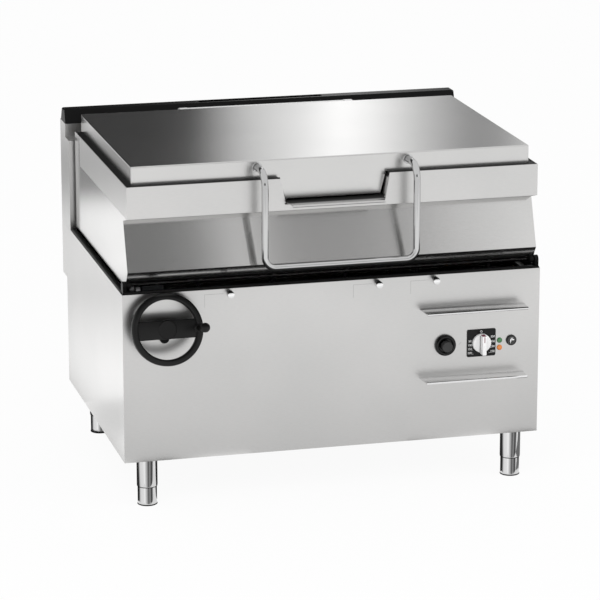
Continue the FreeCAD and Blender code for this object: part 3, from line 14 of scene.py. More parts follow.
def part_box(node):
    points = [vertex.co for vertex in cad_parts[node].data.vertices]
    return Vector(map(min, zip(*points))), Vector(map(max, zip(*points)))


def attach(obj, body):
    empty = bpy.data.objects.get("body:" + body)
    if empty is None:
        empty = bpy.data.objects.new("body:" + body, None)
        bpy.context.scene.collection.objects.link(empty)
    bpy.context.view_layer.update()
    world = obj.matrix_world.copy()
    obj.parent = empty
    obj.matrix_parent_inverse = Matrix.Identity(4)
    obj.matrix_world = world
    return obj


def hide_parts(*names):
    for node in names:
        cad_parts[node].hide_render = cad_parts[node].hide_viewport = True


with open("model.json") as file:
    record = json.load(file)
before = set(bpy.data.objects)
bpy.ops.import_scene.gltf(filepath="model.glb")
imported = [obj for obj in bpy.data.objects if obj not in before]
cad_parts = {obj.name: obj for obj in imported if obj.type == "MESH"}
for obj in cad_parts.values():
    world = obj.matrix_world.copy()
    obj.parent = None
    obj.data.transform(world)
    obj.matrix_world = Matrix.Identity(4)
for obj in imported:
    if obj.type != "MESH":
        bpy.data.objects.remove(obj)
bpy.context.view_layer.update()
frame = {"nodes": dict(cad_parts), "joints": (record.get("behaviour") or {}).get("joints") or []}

MM = 0.001
X = Vector((1, 0, 0))
Y = Vector((0, 1, 0))
Z = Vector((0, 0, 1))
JOINTS = {joint["name"]: joint for joint in frame["joints"]}
FEET = ("front_left", "front_right", "rear_left", "rear_right")

# Camera: place, aim and lens of the photograph
CAMERA_FROM_PANEL = Vector((-2.1914, -8.0476, 2.8176))
AIM_FROM_PANEL = Vector((0.00496, 0.400, 0.4542))
CAMERA_LENS = 186.7
SENSOR = 36.0

# Grain of ground metal: how far its pattern is drawn out along X, Y and Z
LONG_X = (0.04, 1.0, 1.0)
LONG_Y = (1.0, 0.04, 1.0)
SHORT_X = (0.2, 1.0, 1.0)
SHORT_Z = (1.0, 1.0, 0.2)

# Patterns of the finishes: how far the roughness varies, strength of the relief, clouds per metre
METAL_SPREAD = 0.03
METAL_BUMP = 0.25
METAL_CLOUDS = 3.0
COAT_SPREAD = 0.04
COAT_BUMP = 0.3
COAT_CLOUDS = 14.0
PRISM_SIZE = 1.6         # prisms of a lamp's lens, in millimetres
LENS_ROUGHNESS = 0.18
LENS_COAT = 0.6

# Fittings, in millimetres
HANDLE_HALF_WIDTH = 215.0
HANDLE_RADIUS = 9.8
HANDLE_COLLAR = 13.5
HANDLE_BEND = 30.0
HANDLE_TOP_BEND = 44.0
COLLAR_LENGTH = 4.2
WHEEL_OUTER = 100.0
WHEEL_INNER = 82.0
WHEEL_RIM = 24.0
WHEEL_ROUND = 6.5
WHEEL_SPOKE = 52.0
WHEEL_SPOKE_THICKNESS = 12.0
WHEEL_HUB = 27.0
WHEEL_HUB_FRONT = 8.0
WHEEL_HUB_BACK = -22.0
GRIP_OFFSET = 88.0
GRIP_BALL = 13.5
GRIP_BALL_PLACE = 84.0
GRIP_FOOT = 6.5
KNOB_BAR_HALF = 6.0
KNOB_BAR_FRONT = 34.5
KNOB_BAR_BACK = 9.0
KNOB_BAR_TOP = 26.5
KNOB_BAR_BOTTOM = -29.5
KNOB_BAR_ROUND = 2.2
STUD_PLACES = (-300.0, 124.0, 290.0)
STUD_RADIUS = 10.0
RAIL_BEAD = 4.0
RAIL_TAPER = 5.0
RAIL_THICKNESS = 2.0
RAIL_ROUND = 0.5
LEG_OUTER = 29.0
LEG_INNER = 27.4
BUSH_INNER = 27.15
BUSH_DROP = 2.6
BUTTON_RADIUS = 15.0
BUTTON_STEM = 6.0
BUTTON_STEM_END = -11.0

# Turned pieces: (radius, distance along the axis) points, in millimetres
FOOT_PROFILE = ((0.0, 3.2), (26.4, 3.2), (27.2, 3.9), (27.2, 5.4), (27.0, 6.2), (27.0, 110.0), (8.0, 110.0),
                (8.0, 128.0), (0.0, 128.0))
SOLE_PROFILE = ((0.0, 0.0), (27.0, 0.0), (28.1, 0.6), (28.3, 1.8), (27.6, 3.1), (0.0, 3.1))
BEZEL_PROFILE = ((30.5, 0.0), (30.3, 7.0), (29.2, 10.5), (27.0, 12.6), (24.5, 13.0), (21.8, 12.2),
                 (20.2, 10.0), (20.0, 3.2), (6.6, 3.0))
KNOB_PROFILE = ((0.0, 12.0), (24.5, 12.0), (26.0, 11.2), (26.8, 9.6), (27.0, 6.0), (27.0, 2.2), (0.0, 2.2))
KNOB_STEM_PROFILE = ((4.0, -56.0), (4.0, 3.0))
LENS_PROFILE = ((0.0, 5.0), (3.0, 4.8), (5.6, 4.1), (7.2, 2.9), (7.9, 1.2), (7.9, 0.0), (6.5, 0.0),
                (6.5, -30.0), (0.0, -30.0))
STUD_PROFILE = ((0.0, 25.0), (8.0, 25.0), (9.4, 24.4), (STUD_RADIUS, 23.0), (STUD_RADIUS, 0.0))
RING_PROFILE = ((2.1, 0.0), (3.1, 0.0), (3.1, 0.06), (2.1, 0.06), (2.1, 0.0))

# Marks, in millimetres. Each stroke of the tap has its left, low, right and high edges.
TAP_STROKES = ((-2.6, 5.4, 4.4, 7.0), (0.2, 2.6, 1.8, 5.4), (-4.2, 0.2, 7.6, 3.0), (-4.2, -4.4, -1.4, 0.6),
               (-3.6, -7.6, -2.2, -5.6))
LABEL_OFFSET = 33.5
LABEL_SIZE = 6.4
FONT_FACTOR = 1.35
LEADER_ENDS = (27.5, 28.5)
LEADER_STEP = 3.0
PRINT_RISE = 0.05
# Seams: sizes of the L-shaped strips of painted shade beside the studs
SEAM_OFFSET = 70.0
SEAM_DROP = 37.0
SEAM_WIDTH = 0.7
SEAM_RISE = 0.06
SEAM_SINK = 0.02
SEAM_STUD_GAP = 6.0
SPARK_PLACE = (367.0, 408.0)
SPARK_HALF = (4.5, 0.05, 0.45)
SPARK_TURN = -42.0

# Stage, in metres
FLOOR_LEVEL = -0.5 * MM
FLOOR_HALF = 30.0
FLOOR_GLOW = 0.94        # share of its own light in what the camera and reflections see
WORLD_LIGHT = 0.75       # what the surroundings give as light, where they look fully white
LEG_CARD_HALF = 0.3
LEG_CARD_BOTTOM = 0.001
LEG_CARD_TOP = 0.118


def low(node):
    """Lowest corner of a node."""
    return Vector(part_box(node)[0])


def high(node):
    """Highest corner of a node."""
    return Vector(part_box(node)[1])


def middle(node):
    """Middle of a node's box."""
    return (low(node) + high(node)) / 2


PANEL = low("front_panel").y


def on_panel(node):
    """Place on the front panel behind a node's middle."""
    place = middle(node)
    place.y = PANEL
    return place


def on_floor(node):
    """Place on the floor under a node's middle."""
    place = middle(node)
    place.z = 0
    return place


# Colours and shader nodes


def linear(code):
    """sRGB hex value as linear colour."""
    values = [int(code[i:i + 2], 16) / 255 for i in (0, 2, 4)]
    return [c / 12.92 if c <= 0.04045 else ((c + 0.055) / 1.055) ** 2.4 for c in values] + [1.0]


def add(tree, kind, settings=None, links=None):
    """New node with its settings, socket values and links."""
    made = tree.nodes.new(kind)
    for name, value in (settings or {}).items():
        if hasattr(made, str(name)):
            setattr(made, name, value)
        else:
            made.inputs[name].default_value = value
    for name, source in (links or {}).items():
        tree.links.new(source, made.inputs[name])
    return made


def begin(name, colour, metallic, roughness):
    """New material with its shader's plain values."""
    material = bpy.data.materials.new(name)
    material.use_nodes = True
    tree = material.node_tree
    shader = tree.nodes["Principled BSDF"]
    shader.inputs["Base Color"].default_value = linear(colour)
    shader.inputs["Metallic"].default_value = metallic
    shader.inputs["Roughness"].default_value = roughness
    material.diffuse_color = linear(colour)
    return material, tree, shader


def ramp(tree, source, stops):
    """Colour ramp between (place, hex colour) stops."""
    made = add(tree, "ShaderNodeValToRGB", links={"Fac": source})
    elements = made.color_ramp.elements
    while len(elements) < len(stops):
        elements.new(0.5)
    for element, (place, code) in zip(elements, stops):
        element.position = place
        element.color = linear(code)
    return made.outputs["Color"]


def spread(tree, source, lowest, highest):
    """Map a 0..1 pattern to a range of numbers."""
    made = add(tree, "ShaderNodeMapRange", {"To Min": lowest, "To Max": highest}, {"Value": source})
    return made.outputs["Result"]


def brushed(name, dark, light, roughness, grain, stretch, depth):
    """Rolled or brushed metal: fine streaks along one axis and faint clouds."""
    material, tree, shader = begin(name, light, 1.0, roughness)
    place = add(tree, "ShaderNodeTexCoord").outputs["Object"]
    streak_place = add(tree, "ShaderNodeMapping", {"Scale": stretch}, {"Vector": place})
    streaks = add(tree, "ShaderNodeTexNoise", {"Scale": 1.0 / (grain * MM), "Detail": 3.0},
                  {"Vector": streak_place.outputs["Vector"]}).outputs["Fac"]
    clouds = add(tree, "ShaderNodeTexNoise", {"Scale": METAL_CLOUDS, "Detail": 2.0},
                 {"Vector": place}).outputs["Fac"]
    both = add(tree, "ShaderNodeMix", {"data_type": "FLOAT", "Factor": 0.5}, {"A": streaks, "B": clouds})
    tree.links.new(ramp(tree, both.outputs["Result"], ((0.3, dark), (0.7, light))),
                   shader.inputs["Base Color"])
    tree.links.new(spread(tree, streaks, roughness - METAL_SPREAD, roughness + METAL_SPREAD),
                   shader.inputs["Roughness"])
    bump = add(tree, "ShaderNodeBump", {"Strength": METAL_BUMP, "Distance": depth * MM}, {"Height": streaks})
    tree.links.new(bump.outputs["Normal"], shader.inputs["Normal"])
    return material


def coated(name, dark, light, roughness, grain, depth, gloss=0.5):
    """Painted, moulded or cast surface with a fine skin."""
    material, tree, shader = begin(name, light, 0.0, roughness)
    shader.inputs["Specular IOR Level"].default_value = gloss
    place = add(tree, "ShaderNodeTexCoord").outputs["Object"]
    skin = add(tree, "ShaderNodeTexNoise", {"Scale": 1.0 / (grain * MM), "Detail": 4.0},
               {"Vector": place}).outputs["Fac"]
    wide = add(tree, "ShaderNodeTexNoise", {"Scale": COAT_CLOUDS, "Detail": 3.0},
               {"Vector": place}).outputs["Fac"]
    tree.links.new(ramp(tree, wide, ((0.35, dark), (0.65, light))), shader.inputs["Base Color"])
    tree.links.new(spread(tree, wide, roughness - COAT_SPREAD, roughness + COAT_SPREAD),
                   shader.inputs["Roughness"])
    bump = add(tree, "ShaderNodeBump", {"Strength": COAT_BUMP, "Distance": depth * MM}, {"Height": skin})
    tree.links.new(bump.outputs["Normal"], shader.inputs["Normal"])
    return material


# Finishes


def make_materials():
    """All finishes, each under the name of the real one."""
    return {
        # AISI 304 sheet, satin ground: soft reflections with streaks along the sheet
        "satin_sheet": brushed("satin_stainless_sheet", "c2c2c1", "cecdcc", 0.30, 0.6, LONG_X, 0.004),
        # The same sheet with its grain from front to rear, on the sides of the machine
        "side_sheet": brushed("satin_stainless_side", "c0c0bf", "cccbca", 0.30, 0.6, LONG_Y, 0.004),
        # Finely ground lid: clearer reflections
        "lid_sheet": brushed("fine_ground_stainless_lid", "c2c2c1", "cecdcc", 0.22, 0.5, LONG_X, 0.003),
        # Deep-drawn vessel, dulled and scoured by use
        "vessel_sheet": brushed("scoured_stainless_vessel", "9c9b99", "abaaa8", 0.34, 0.9,
                                (1.0, 1.0, 0.1), 0.01),
        # Polished tube and bar: bright, with hardly any grain
        "polished_tube": brushed("polished_stainless_tube", "cfcfcf", "dcdcdc", 0.10, 0.4, SHORT_Z, 0.001),
        # Polished bar of the lid handle: mirror-like, dark where it mirrors the casing
        "polished_bar": brushed("polished_stainless_bar", "b6b6b6", "c4c4c4", 0.09, 0.4, SHORT_X, 0.001),
        # Chrome plated bead and bar: nearly a mirror, brighter than the sheet behind it
        "bright_chrome": brushed("bright_chrome_plate", "e0e0e0", "ececec", 0.07, 0.4, SHORT_X, 0.0005),
        # Zinc plated and clear lacquered hinge: pale and dull
        "pale_zinc": coated("pale_zinc_lacquer", "dadada", "dedede", 0.45, 0.5, 0.004),
        # Pan casing, ground finer than the cabinet: long, clear reflections
        "casing_sheet": brushed("fine_ground_stainless_casing", "c0c0bf", "cccbca", 0.15, 0.6, LONG_X, 0.003),
        # Powder coat, nearly matt: deep black with a faint sheen
        "black_powder_coat": coated("black_powder_coat", "060606", "0a0a0a", 0.40, 0.5, 0.02, 0.12),
        # Glass-filled nylon of the handwheel: even black with a dull shine
        "black_nylon": coated("black_glass_filled_nylon", "0b0b0b", "121212", 0.40, 0.3, 0.02, 0.25),
        # Moulded ABS of the igniter's bezel: glossy black with a sharp highlight on its edge
        "black_gloss": coated("black_gloss_abs", "050505", "090909", 0.16, 0.6, 0.004, 0.30),
        # Moulded ABS of the buttons: dark grey and satin
        "grey_button": coated("dark_grey_abs", "303030", "393939", 0.40, 0.3, 0.01, 0.3),
        # Moulded ABS of the knob: clean white with a soft shine
        "white_knob": coated("white_abs", "f2f2f2", "f8f8f8", 0.28, 0.4, 0.004),
        # Printed polyester foil of the dial: flat, even black
        "black_foil": coated("black_printed_foil", "080808", "0d0d0d", 0.34, 0.3, 0.004, 0.25),
        # Screen print on the foil and the button: matt white
        "print_white": coated("white_print", "f0f0f0", "f8f8f8", 0.5, 0.3, 0.002),
        # Inlaid pointer of the knob: dark red, matt
        "pointer_red": coated("dark_red_print", "6d1f36", "7c2740", 0.45, 0.3, 0.002),
        # EPDM of the rim's seal and the soles: black and dull, with a coarse skin
        "seal_rubber": coated("black_epdm_rubber", "0a0a0a", "101010", 0.6, 0.8, 0.03, 0.25),
        # Primed steel of the hidden frames: matt black that shows the rolled skin
        "primed_steel": coated("black_primed_steel", "0e0e0e", "151515", 0.6, 0.6, 0.02, 0.2),
        # Painted grey iron of the gearbox: bluish grey over the rough skin of a casting
        "cast_iron": coated("painted_cast_iron", "4a4d50", "585b5e", 0.5, 1.6, 0.12),
        # Cut and turned steel of the gear and the shafts: bright grey with fine tool marks
        "machined_steel": brushed("machined_steel", "8f8f90", "a3a3a4", 0.28, 0.3, (0.1, 1.0, 1.0), 0.004),
        # Turned brass of the valves and pipes: warm yellow with a satin shine
        "brass": brushed("turned_brass", "b28b4a", "c59d58", 0.30, 0.4, SHORT_X, 0.004),
        # Sintered bronze of the bushes: brown and grainy, without direction
        "bronze": brushed("sintered_bronze", "9a7040", "ab8150", 0.45, 0.4, (1.0, 1.0, 1.0), 0.01),
        # Rolled aluminium of the heating plate: pale and dull, with long streaks
        "aluminium": brushed("rolled_aluminium", "a8a8a8", "b8b8b8", 0.42, 0.8, (0.05, 1.0, 1.0), 0.01),
        # Moulded polycarbonate of the electrical box: plain light grey
        "grey_box": coated("grey_polycarbonate", "8a8c8e", "969899", 0.45, 0.5, 0.01),
        # Painted shade for fine gaps in the sheet: flat grey, a little darker than the panel
        "seam_shadow": coated("painted_gap_shade", "8b8b8b", "939393", 0.6, 0.5, 0.0),
        # Acrylic lens of the lamp that shows power
        "green_lens": lens("green_acrylic_lens", "2f6b3a", "4b8a54"),
        # Acrylic lens of the lamp that shows the burner
        "orange_lens": lens("orange_acrylic_lens", "d87a2c", "f0984a"),
    }


def lens(name, dark, light):
    """Moulded acrylic over a lamp: glossy, with a prism pattern that shows through."""
    material, tree, shader = begin(name, light, 0.0, LENS_ROUGHNESS)
    place = add(tree, "ShaderNodeTexCoord").outputs["Object"]
    prisms = add(tree, "ShaderNodeTexVoronoi", {"Scale": 1.0 / (PRISM_SIZE * MM)}, {"Vector": place})
    tree.links.new(ramp(tree, prisms.outputs["Distance"], ((0.1, light), (0.6, dark))),
                   shader.inputs["Base Color"])
    shader.inputs["Coat Weight"].default_value = LENS_COAT
    return material


MATERIALS = make_materials()

NODE_FINISH = {
    "satin_sheet": "front_panel rear_panel base_tray flue_duct rim_band spout heat_shield burner_tubes",
    "casing_sheet": "pan_casing",
    "side_sheet": "side_panel_left side_panel_right flue_column",
    "lid_sheet": "lid_shell lid_liner",
    "vessel_sheet": "vessel",
    "bright_chrome": "guard_rail_upper guard_rail_lower panel_studs",
    "polished_bar": "lid_handle",
    "pale_zinc": "hinge_tube hinge_arms",
    "polished_tube": "leg_sockets foot_front_left foot_front_right foot_rear_left foot_rear_right",
    "black_powder_coat": "rim_trim flue_cap pivot_bearings pivot_ears shaft_flange",
    "black_nylon": "handwheel wheel_grip water_switch igniter_body",
    "black_gloss": "igniter_bezel",
    "black_foil": "dial_plate",
    "grey_button": "ignition_button water_button",
    "white_knob": "thermostat_knob",
    "green_lens": "power_lamp",
    "orange_lens": "burner_lamp",
    "seal_rubber": "rim_gasket",
    "primed_steel": "cabinet_frame pan_underframe burner_rails gas_manifold",
    "cast_iron": "tilt_gearbox",
    "machined_steel": "tilt_sector pinion input_shaft hinge_shaft balance_springs",
    "brass": "gas_valve gas_supply_pipe water_valve water_pipe",
    "bronze": "hinge_bushes",
    "aluminium": "heating_plate",
    "grey_box": "control_box",
}


def dress_nodes():
    """Give every carried-over node its finish."""
    for finish, names in NODE_FINISH.items():
        for name in names.split():
            thing = frame["nodes"][name]
            thing.data.materials.clear()
            thing.data.materials.append(MATERIALS[finish])


# Making of pieces


def settle(name, bm, finish, body, replaced=None, crease=32.0):
    """Turn a bmesh into a finished piece that rides on a body."""
    bmesh.ops.remove_doubles(bm, verts=bm.verts, dist=0.01 * MM)
    bmesh.ops.recalc_face_normals(bm, faces=bm.faces)
    for face in bm.faces:
        face.smooth = True
    mesh = bpy.data.meshes.new(name)
    bm.to_mesh(mesh)
    bm.free()
    mesh.set_sharp_from_angle(angle=math.radians(crease))
    mesh.materials.append(MATERIALS[finish])
    piece = bpy.data.objects.new(name, mesh)
    bpy.context.scene.collection.objects.link(piece)
    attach(piece, body)
    if replaced:
        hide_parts(replaced)
    return piece


def soften(bm, width, segments=3, sharper_than=30.0):
    """Round every edge sharper than an angle."""
    limit = math.radians(sharper_than)
    sharp = [edge for edge in bm.edges if len(edge.link_faces) == 2 and edge.calc_face_angle(0.0) > limit]
    bmesh.ops.bevel(bm, geom=sharp, offset=width * MM, segments=segments, profile=0.5,
                    affect="EDGES", clamp_overlap=True, material=-1)


def turned(bm, profile, centre, axis, steps=64):
    """Turn a profile of (radius, distance along the axis) points in millimetres about an axis."""
    axis = axis.normalized()
    side = axis.orthogonal().normalized()
    points = [bm.verts.new(centre + axis * (along * MM) + side * (radius * MM))
              for radius, along in profile]
    edges = [bm.edges.new(pair) for pair in zip(points, points[1:])]
    bmesh.ops.spin(bm, geom=points + edges, cent=centre, axis=axis, angle=2 * math.pi, steps=steps,
                   use_merge=True)
    bmesh.ops.remove_doubles(bm, verts=bm.verts, dist=0.005 * MM)


def before_panel(centre, x, front, z):
    """Point in front of the panel, in millimetres from a place on it."""
    return Vector((centre.x + x * MM, PANEL - front * MM, centre.z + z * MM))


def slab(bm, lowest, highest, width=0.0, segments=2):
    """Box between two corners, with its edges rounded by a width in millimetres."""
    size = highest - lowest
    place = Matrix.Translation((lowest + highest) / 2) @ Matrix.Diagonal((*size, 1.0))
    made = bmesh.ops.create_cube(bm, size=1.0, matrix=place)
    if width:
        edges = {edge for vert in made["verts"] for edge in vert.link_edges}
        bmesh.ops.bevel(bm, geom=list(edges), offset=width * MM, segments=segments, profile=0.5,
                        affect="EDGES", clamp_overlap=True, material=-1)
    return made


def circle_edges(bm, centre, axis, radius, count=32):
    """Ring of edges round a point, across an axis."""
    turn = Z.rotation_difference(axis.normalized()).to_matrix().to_4x4()
    made = bmesh.ops.create_circle(bm, cap_ends=False, radius=radius * MM, segments=count,
                                   matrix=Matrix.Translation(centre) @ turn)
    return [edge for edge in bm.edges if edge.verts[0] in made["verts"] and edge.verts[1] in made["verts"]]


def run_on(bm, ring, step):
    """Extend a ring of edges along a straight step and return the new ring."""
    made = bmesh.ops.extrude_edge_only(bm, edges=ring)["geom"]
    bmesh.ops.translate(bm, vec=step, verts=[item for item in made if isinstance(item, bmesh.types.BMVert)])
    return [item for item in made if isinstance(item, bmesh.types.BMEdge) and len(item.link_faces) == 1]


def bend_on(bm, ring, centre, axis, angle, steps=10):
    """Sweep a ring of edges round a bend and return the new ring."""
    made = bmesh.ops.spin(bm, geom=ring, cent=centre, axis=axis, angle=angle, steps=steps)
    return [item for item in made["geom_last"] if isinstance(item, bmesh.types.BMEdge)]


# Lid handle


def lid_handle():
    """Round bar, bent four times, with a collar at each end."""
    start = low("lid_handle")
    end = high("lid_handle")
    half = HANDLE_HALF_WIDTH * MM
    radius = HANDLE_RADIUS
    top = end.z - HANDLE_COLLAR * MM
    bottom = start.z + radius * MM
    front = start.y + radius * MM
    rear = end.y
    bend = HANDLE_BEND * MM
    knee = HANDLE_TOP_BEND * MM
    bm = bmesh.new()
    ring = circle_edges(bm, Vector((-half, rear, top)), -Y, radius)
    ring = run_on(bm, ring, Vector((0, front - rear + knee, 0)))
    ring = bend_on(bm, ring, Vector((-half, front + knee, top - knee)), X, math.pi / 2)
    ring = run_on(bm, ring, Vector((0, 0, bottom - top + bend + knee)))
    ring = bend_on(bm, ring, Vector((-half + bend, front, bottom + bend)), -Y, math.pi / 2)
    ring = run_on(bm, ring, Vector((2 * (half - bend), 0, 0)))
    ring = bend_on(bm, ring, Vector((half - bend, front, bottom + bend)), -Y, math.pi / 2)
    ring = run_on(bm, ring, Vector((0, 0, top - bottom - bend - knee)))
    ring = bend_on(bm, ring, Vector((half, front + knee, top - knee)), -X, math.pi / 2)
    run_on(bm, ring, Vector((0, rear - front - knee, 0)))
    for side in (-1, 1):
        turned(bm, ((radius, COLLAR_LENGTH), (HANDLE_COLLAR - 0.8, COLLAR_LENGTH), (HANDLE_COLLAR, 3.2),
                    (HANDLE_COLLAR, 0.0), (radius, 0.0)), Vector((side * half, rear, top)), -Y)
    settle("lid_handle_bar", bm, "polished_bar", "lid", "lid_handle")


# Handwheel


def wheel_frame():
    """Middle and outward axis of the handwheel."""
    joint = JOINTS["handwheel_turn"]
    return Vector(joint["pos_m"]), -Vector(joint["axis"])


def turn_to_axis(centre, axis):
    """Matrix that puts a piece made round +Z on the wheel, with its Y up."""
    up = (Z - axis * Z.dot(axis)).normalized()
    across = up.cross(axis)
    turn = Matrix((across, up, axis)).transposed().to_4x4()
    return Matrix.Translation(centre) @ turn


def handwheel():
    """Rounded rim, flat cross bar with rounded edges, hub and grip boss."""
    centre, axis = wheel_frame()
    outer = WHEEL_OUTER
    inner = WHEEL_INNER
    half = WHEEL_RIM / 2
    r = WHEEL_ROUND
    bm = bmesh.new()
    section = []
    for cx, cz, first in ((outer - r, half - r, 0), (inner + r, half - r, 90),
                          (inner + r, -half + r, 180), (outer - r, -half + r, 270)):
        for step in range(5):
            a = math.radians(first + 22.5 * step)
            section.append((cx + r * math.cos(a), cz + r * math.sin(a)))
    section.append(section[0])
    turned(bm, section, Vector((0, 0, 0)), Z, steps=96)
    bar = bmesh.new()
    reach = (inner + 4.0) * MM
    tall = WHEEL_SPOKE / 2 * MM
    deep = WHEEL_SPOKE_THICKNESS / 2 * MM
    slab(bar, Vector((-reach, -tall, -deep)), Vector((reach, tall, deep)), 2.5, 3)
    turned(bar, ((0.0, WHEEL_HUB_FRONT), (WHEEL_HUB - 3.0, WHEEL_HUB_FRONT), (WHEEL_HUB, 5.0),
                 (WHEEL_HUB, WHEEL_HUB_BACK), (0.0, WHEEL_HUB_BACK)), Vector((0, 0, 0)), Z)
    ball = Vector((GRIP_OFFSET * MM, 0, 0))
    turned(bar, ((0.0, half + 0.2), (10.0, half + 0.2), (GRIP_BALL, half - 3.0), (GRIP_BALL, -half + 3.0),
                 (10.0, -half), (0.0, -half)), ball, Z)
    mesh = bpy.data.meshes.new("bar")
    bar.to_mesh(mesh)
    bar.free()
    bm.from_mesh(mesh)
    bpy.data.meshes.remove(mesh)
    bmesh.ops.transform(bm, matrix=turn_to_axis(centre, axis), verts=bm.verts)
    settle("handwheel_moulding", bm, "black_nylon", "wheel", "handwheel")


def wheel_grip():
    """Turned grip that swells from a slim neck into a ball."""
    centre, axis = wheel_frame()
    place = turn_to_axis(centre, axis) @ Matrix.Translation((GRIP_OFFSET * MM, 0, 0))
    foot = WHEEL_RIM / 2 + 0.3
    ball = GRIP_BALL_PLACE
    profile = [(0.0, foot), (GRIP_FOOT + 1.5, foot), (GRIP_FOOT + 2.0, foot + 2.0),
               (GRIP_FOOT + 1.0, foot + 9.0), (GRIP_FOOT + 1.6, foot + 24.0),
               (GRIP_FOOT + 3.2, foot + 40.0)]
    for step in range(13):
        a = math.radians(-50 + 140 * step / 12)
        profile.append((GRIP_BALL * math.cos(a), ball + GRIP_BALL * math.sin(a)))
    profile[-1] = (0.0, ball + GRIP_BALL)
    bm = bmesh.new()
    turned(bm, profile, Vector((0, 0, 0)), Z)
    bmesh.ops.transform(bm, matrix=place, verts=bm.verts)
    settle("crank_grip", bm, "black_nylon", "grip", "wheel_grip", crease=60.0)


# Legs


def legs():
    """Outer tubes with a rolled lower edge."""
    bottom = low("leg_sockets").z / MM
    top = high("leg_sockets").z / MM
    bm = bmesh.new()
    for name in FEET:
        turned(bm, ((LEG_INNER, top - 3.5), (LEG_INNER, bottom + 0.8), (27.9, bottom), (28.6, bottom),
                    (LEG_OUTER, bottom + 0.8), (LEG_OUTER, top - 3.0), (LEG_OUTER, top), (0.0, top)),
               on_floor("foot_" + name), Z)
    settle("leg_tubes", bm, "polished_tube", "cabinet", "leg_sockets")


def leg_shade_bushes():
    """Thin black bush under each outer tube, round the foot; its black also stands in for the shade under the
    tube's rolled edge, as painted shade.
    """
    bottom = low("leg_sockets").z / MM
    bm = bmesh.new()
    for name in FEET:
        turned(bm, ((BUSH_INNER, bottom - BUSH_DROP), (28.0, bottom - BUSH_DROP), (28.4, bottom - 2.2),
                    (28.4, bottom - 0.1), (BUSH_INNER, bottom - 0.1), (BUSH_INNER, bottom - BUSH_DROP)),
               on_floor("foot_" + name), Z)
    settle("leg_shade_bushes", bm, "black_nylon", "cabinet")


def feet():
    """Turned feet with a groove and a rounded shoulder, each on a black sole."""
    for name in FEET:
        node = "foot_" + name
        bm = bmesh.new()
        turned(bm, FOOT_PROFILE, on_floor(node), Z)
        settle("foot_turned_" + name, bm, "polished_tube", node, node)
        bm = bmesh.new()
        turned(bm, SOLE_PROFILE, on_floor(node), Z)
        settle("foot_sole_" + name, bm, "seal_rubber", node)


# Controls


def ignition():
    """Bezel with a rounded front edge and the sprung button in it."""
    centre = on_panel("igniter_bezel")
    bm = bmesh.new()
    turned(bm, BEZEL_PROFILE, centre, -Y)
    settle("bezel_moulding", bm, "black_gloss", "cabinet", "igniter_bezel")
    front = (PANEL - low("ignition_button").y) / MM
    bm = bmesh.new()
    turned(bm, ((0.0, front - 1.6), (9.0, front - 1.3), (12.5, front - 0.2), (14.0, front),
                (BUTTON_RADIUS, front - 1.2), (BUTTON_RADIUS, 9.0), (BUTTON_STEM, 8.6),
                (BUTTON_STEM, BUTTON_STEM_END), (0.0, BUTTON_STEM_END)), centre, -Y)
    settle("ignition_push_button", bm, "grey_button", "ignition_button", "ignition_button")


def knob():
    """Round knob with a skirt, a grip bar with rounded ends, a red pointer and a strip of painted shade at
    the bar's left foot.
    """
    centre = on_panel("dial_plate")
    bm = bmesh.new()
    turned(bm, KNOB_PROFILE, centre, -Y)
    slab(bm, before_panel(centre, -KNOB_BAR_HALF, KNOB_BAR_FRONT, KNOB_BAR_BOTTOM),
         before_panel(centre, KNOB_BAR_HALF, KNOB_BAR_BACK, KNOB_BAR_TOP), KNOB_BAR_ROUND, 3)
    turned(bm, KNOB_STEM_PROFILE, centre, -Y, steps=24)
    settle("knob_moulding", bm, "white_knob", "knob", "thermostat_knob")
    bm = bmesh.new()
    slab(bm, before_panel(centre, -1.2, KNOB_BAR_FRONT + 0.2, 8.0),
         before_panel(centre, 1.2, KNOB_BAR_FRONT - 0.2, 25.0), 0.1, 1)
    slab(bm, before_panel(centre, -5.6, 33.0, KNOB_BAR_TOP - 0.15),
         before_panel(centre, 5.6, 13.0, KNOB_BAR_TOP + 0.15), 0.1, 1)
    settle("knob_pointer", bm, "pointer_red", "knob")
    # Dark strip beside the grip bar's left side: painted shade, in the dial's black foil
    bm = bmesh.new()
    slab(bm, before_panel(centre, -7.6, 12.2, -23.5), before_panel(centre, -6.2, 11.6, 23.5))
    settle("knob_bar_shade_strip", bm, "black_foil", "knob")


def lamps():
    """Domed lenses of the two indicator lamps."""
    for node, finish in (("power_lamp", "green_lens"), ("burner_lamp", "orange_lens")):
        bm = bmesh.new()
        turned(bm, LENS_PROFILE, on_panel(node), -Y, steps=40)
        settle(node + "_lens", bm, finish, "cabinet", node, crease=50.0)


def studs():
    """Three studs with rounded ends."""
    bm = bmesh.new()
    for place in STUD_PLACES:
        centre = Vector((place * MM, PANEL, middle("panel_studs").z))
        turned(bm, STUD_PROFILE, centre, -Y, steps=40)
    settle("panel_stud_heads", bm, "bright_chrome", "cabinet", "panel_studs")


def guard_rail(node):
    """Thin ledge with slanted ends and a round bead along its front."""
    start = low(node)
    end = high(node)
    level = middle(node).z
    front = start.y + RAIL_BEAD * MM
    taper = RAIL_TAPER * MM
    bm = bmesh.new()
    corners = ((start.x, PANEL), (start.x + taper, front), (end.x - taper, front), (end.x, PANEL))
    base = [bm.verts.new((x, y, level - RAIL_THICKNESS / 2 * MM)) for x, y in corners]
    face = bm.faces.new(base)
    made = bmesh.ops.extrude_face_region(bm, geom=[face])["geom"]
    bmesh.ops.translate(bm, vec=Z * RAIL_THICKNESS * MM,
                        verts=[item for item in made if isinstance(item, bmesh.types.BMVert)])
    soften(bm, RAIL_ROUND, 2)
    length = (end.x - start.x) / MM - 2 * RAIL_TAPER
    turned(bm, ((0.0, 0.0), (3.2, 0.0), (RAIL_BEAD, 0.9), (RAIL_BEAD, length - 0.9), (3.2, length),
                (0.0, length)),
           Vector((start.x + taper, front, level)), X, steps=32)
    settle(node + "_sheet", bm, "bright_chrome", "cabinet", node)


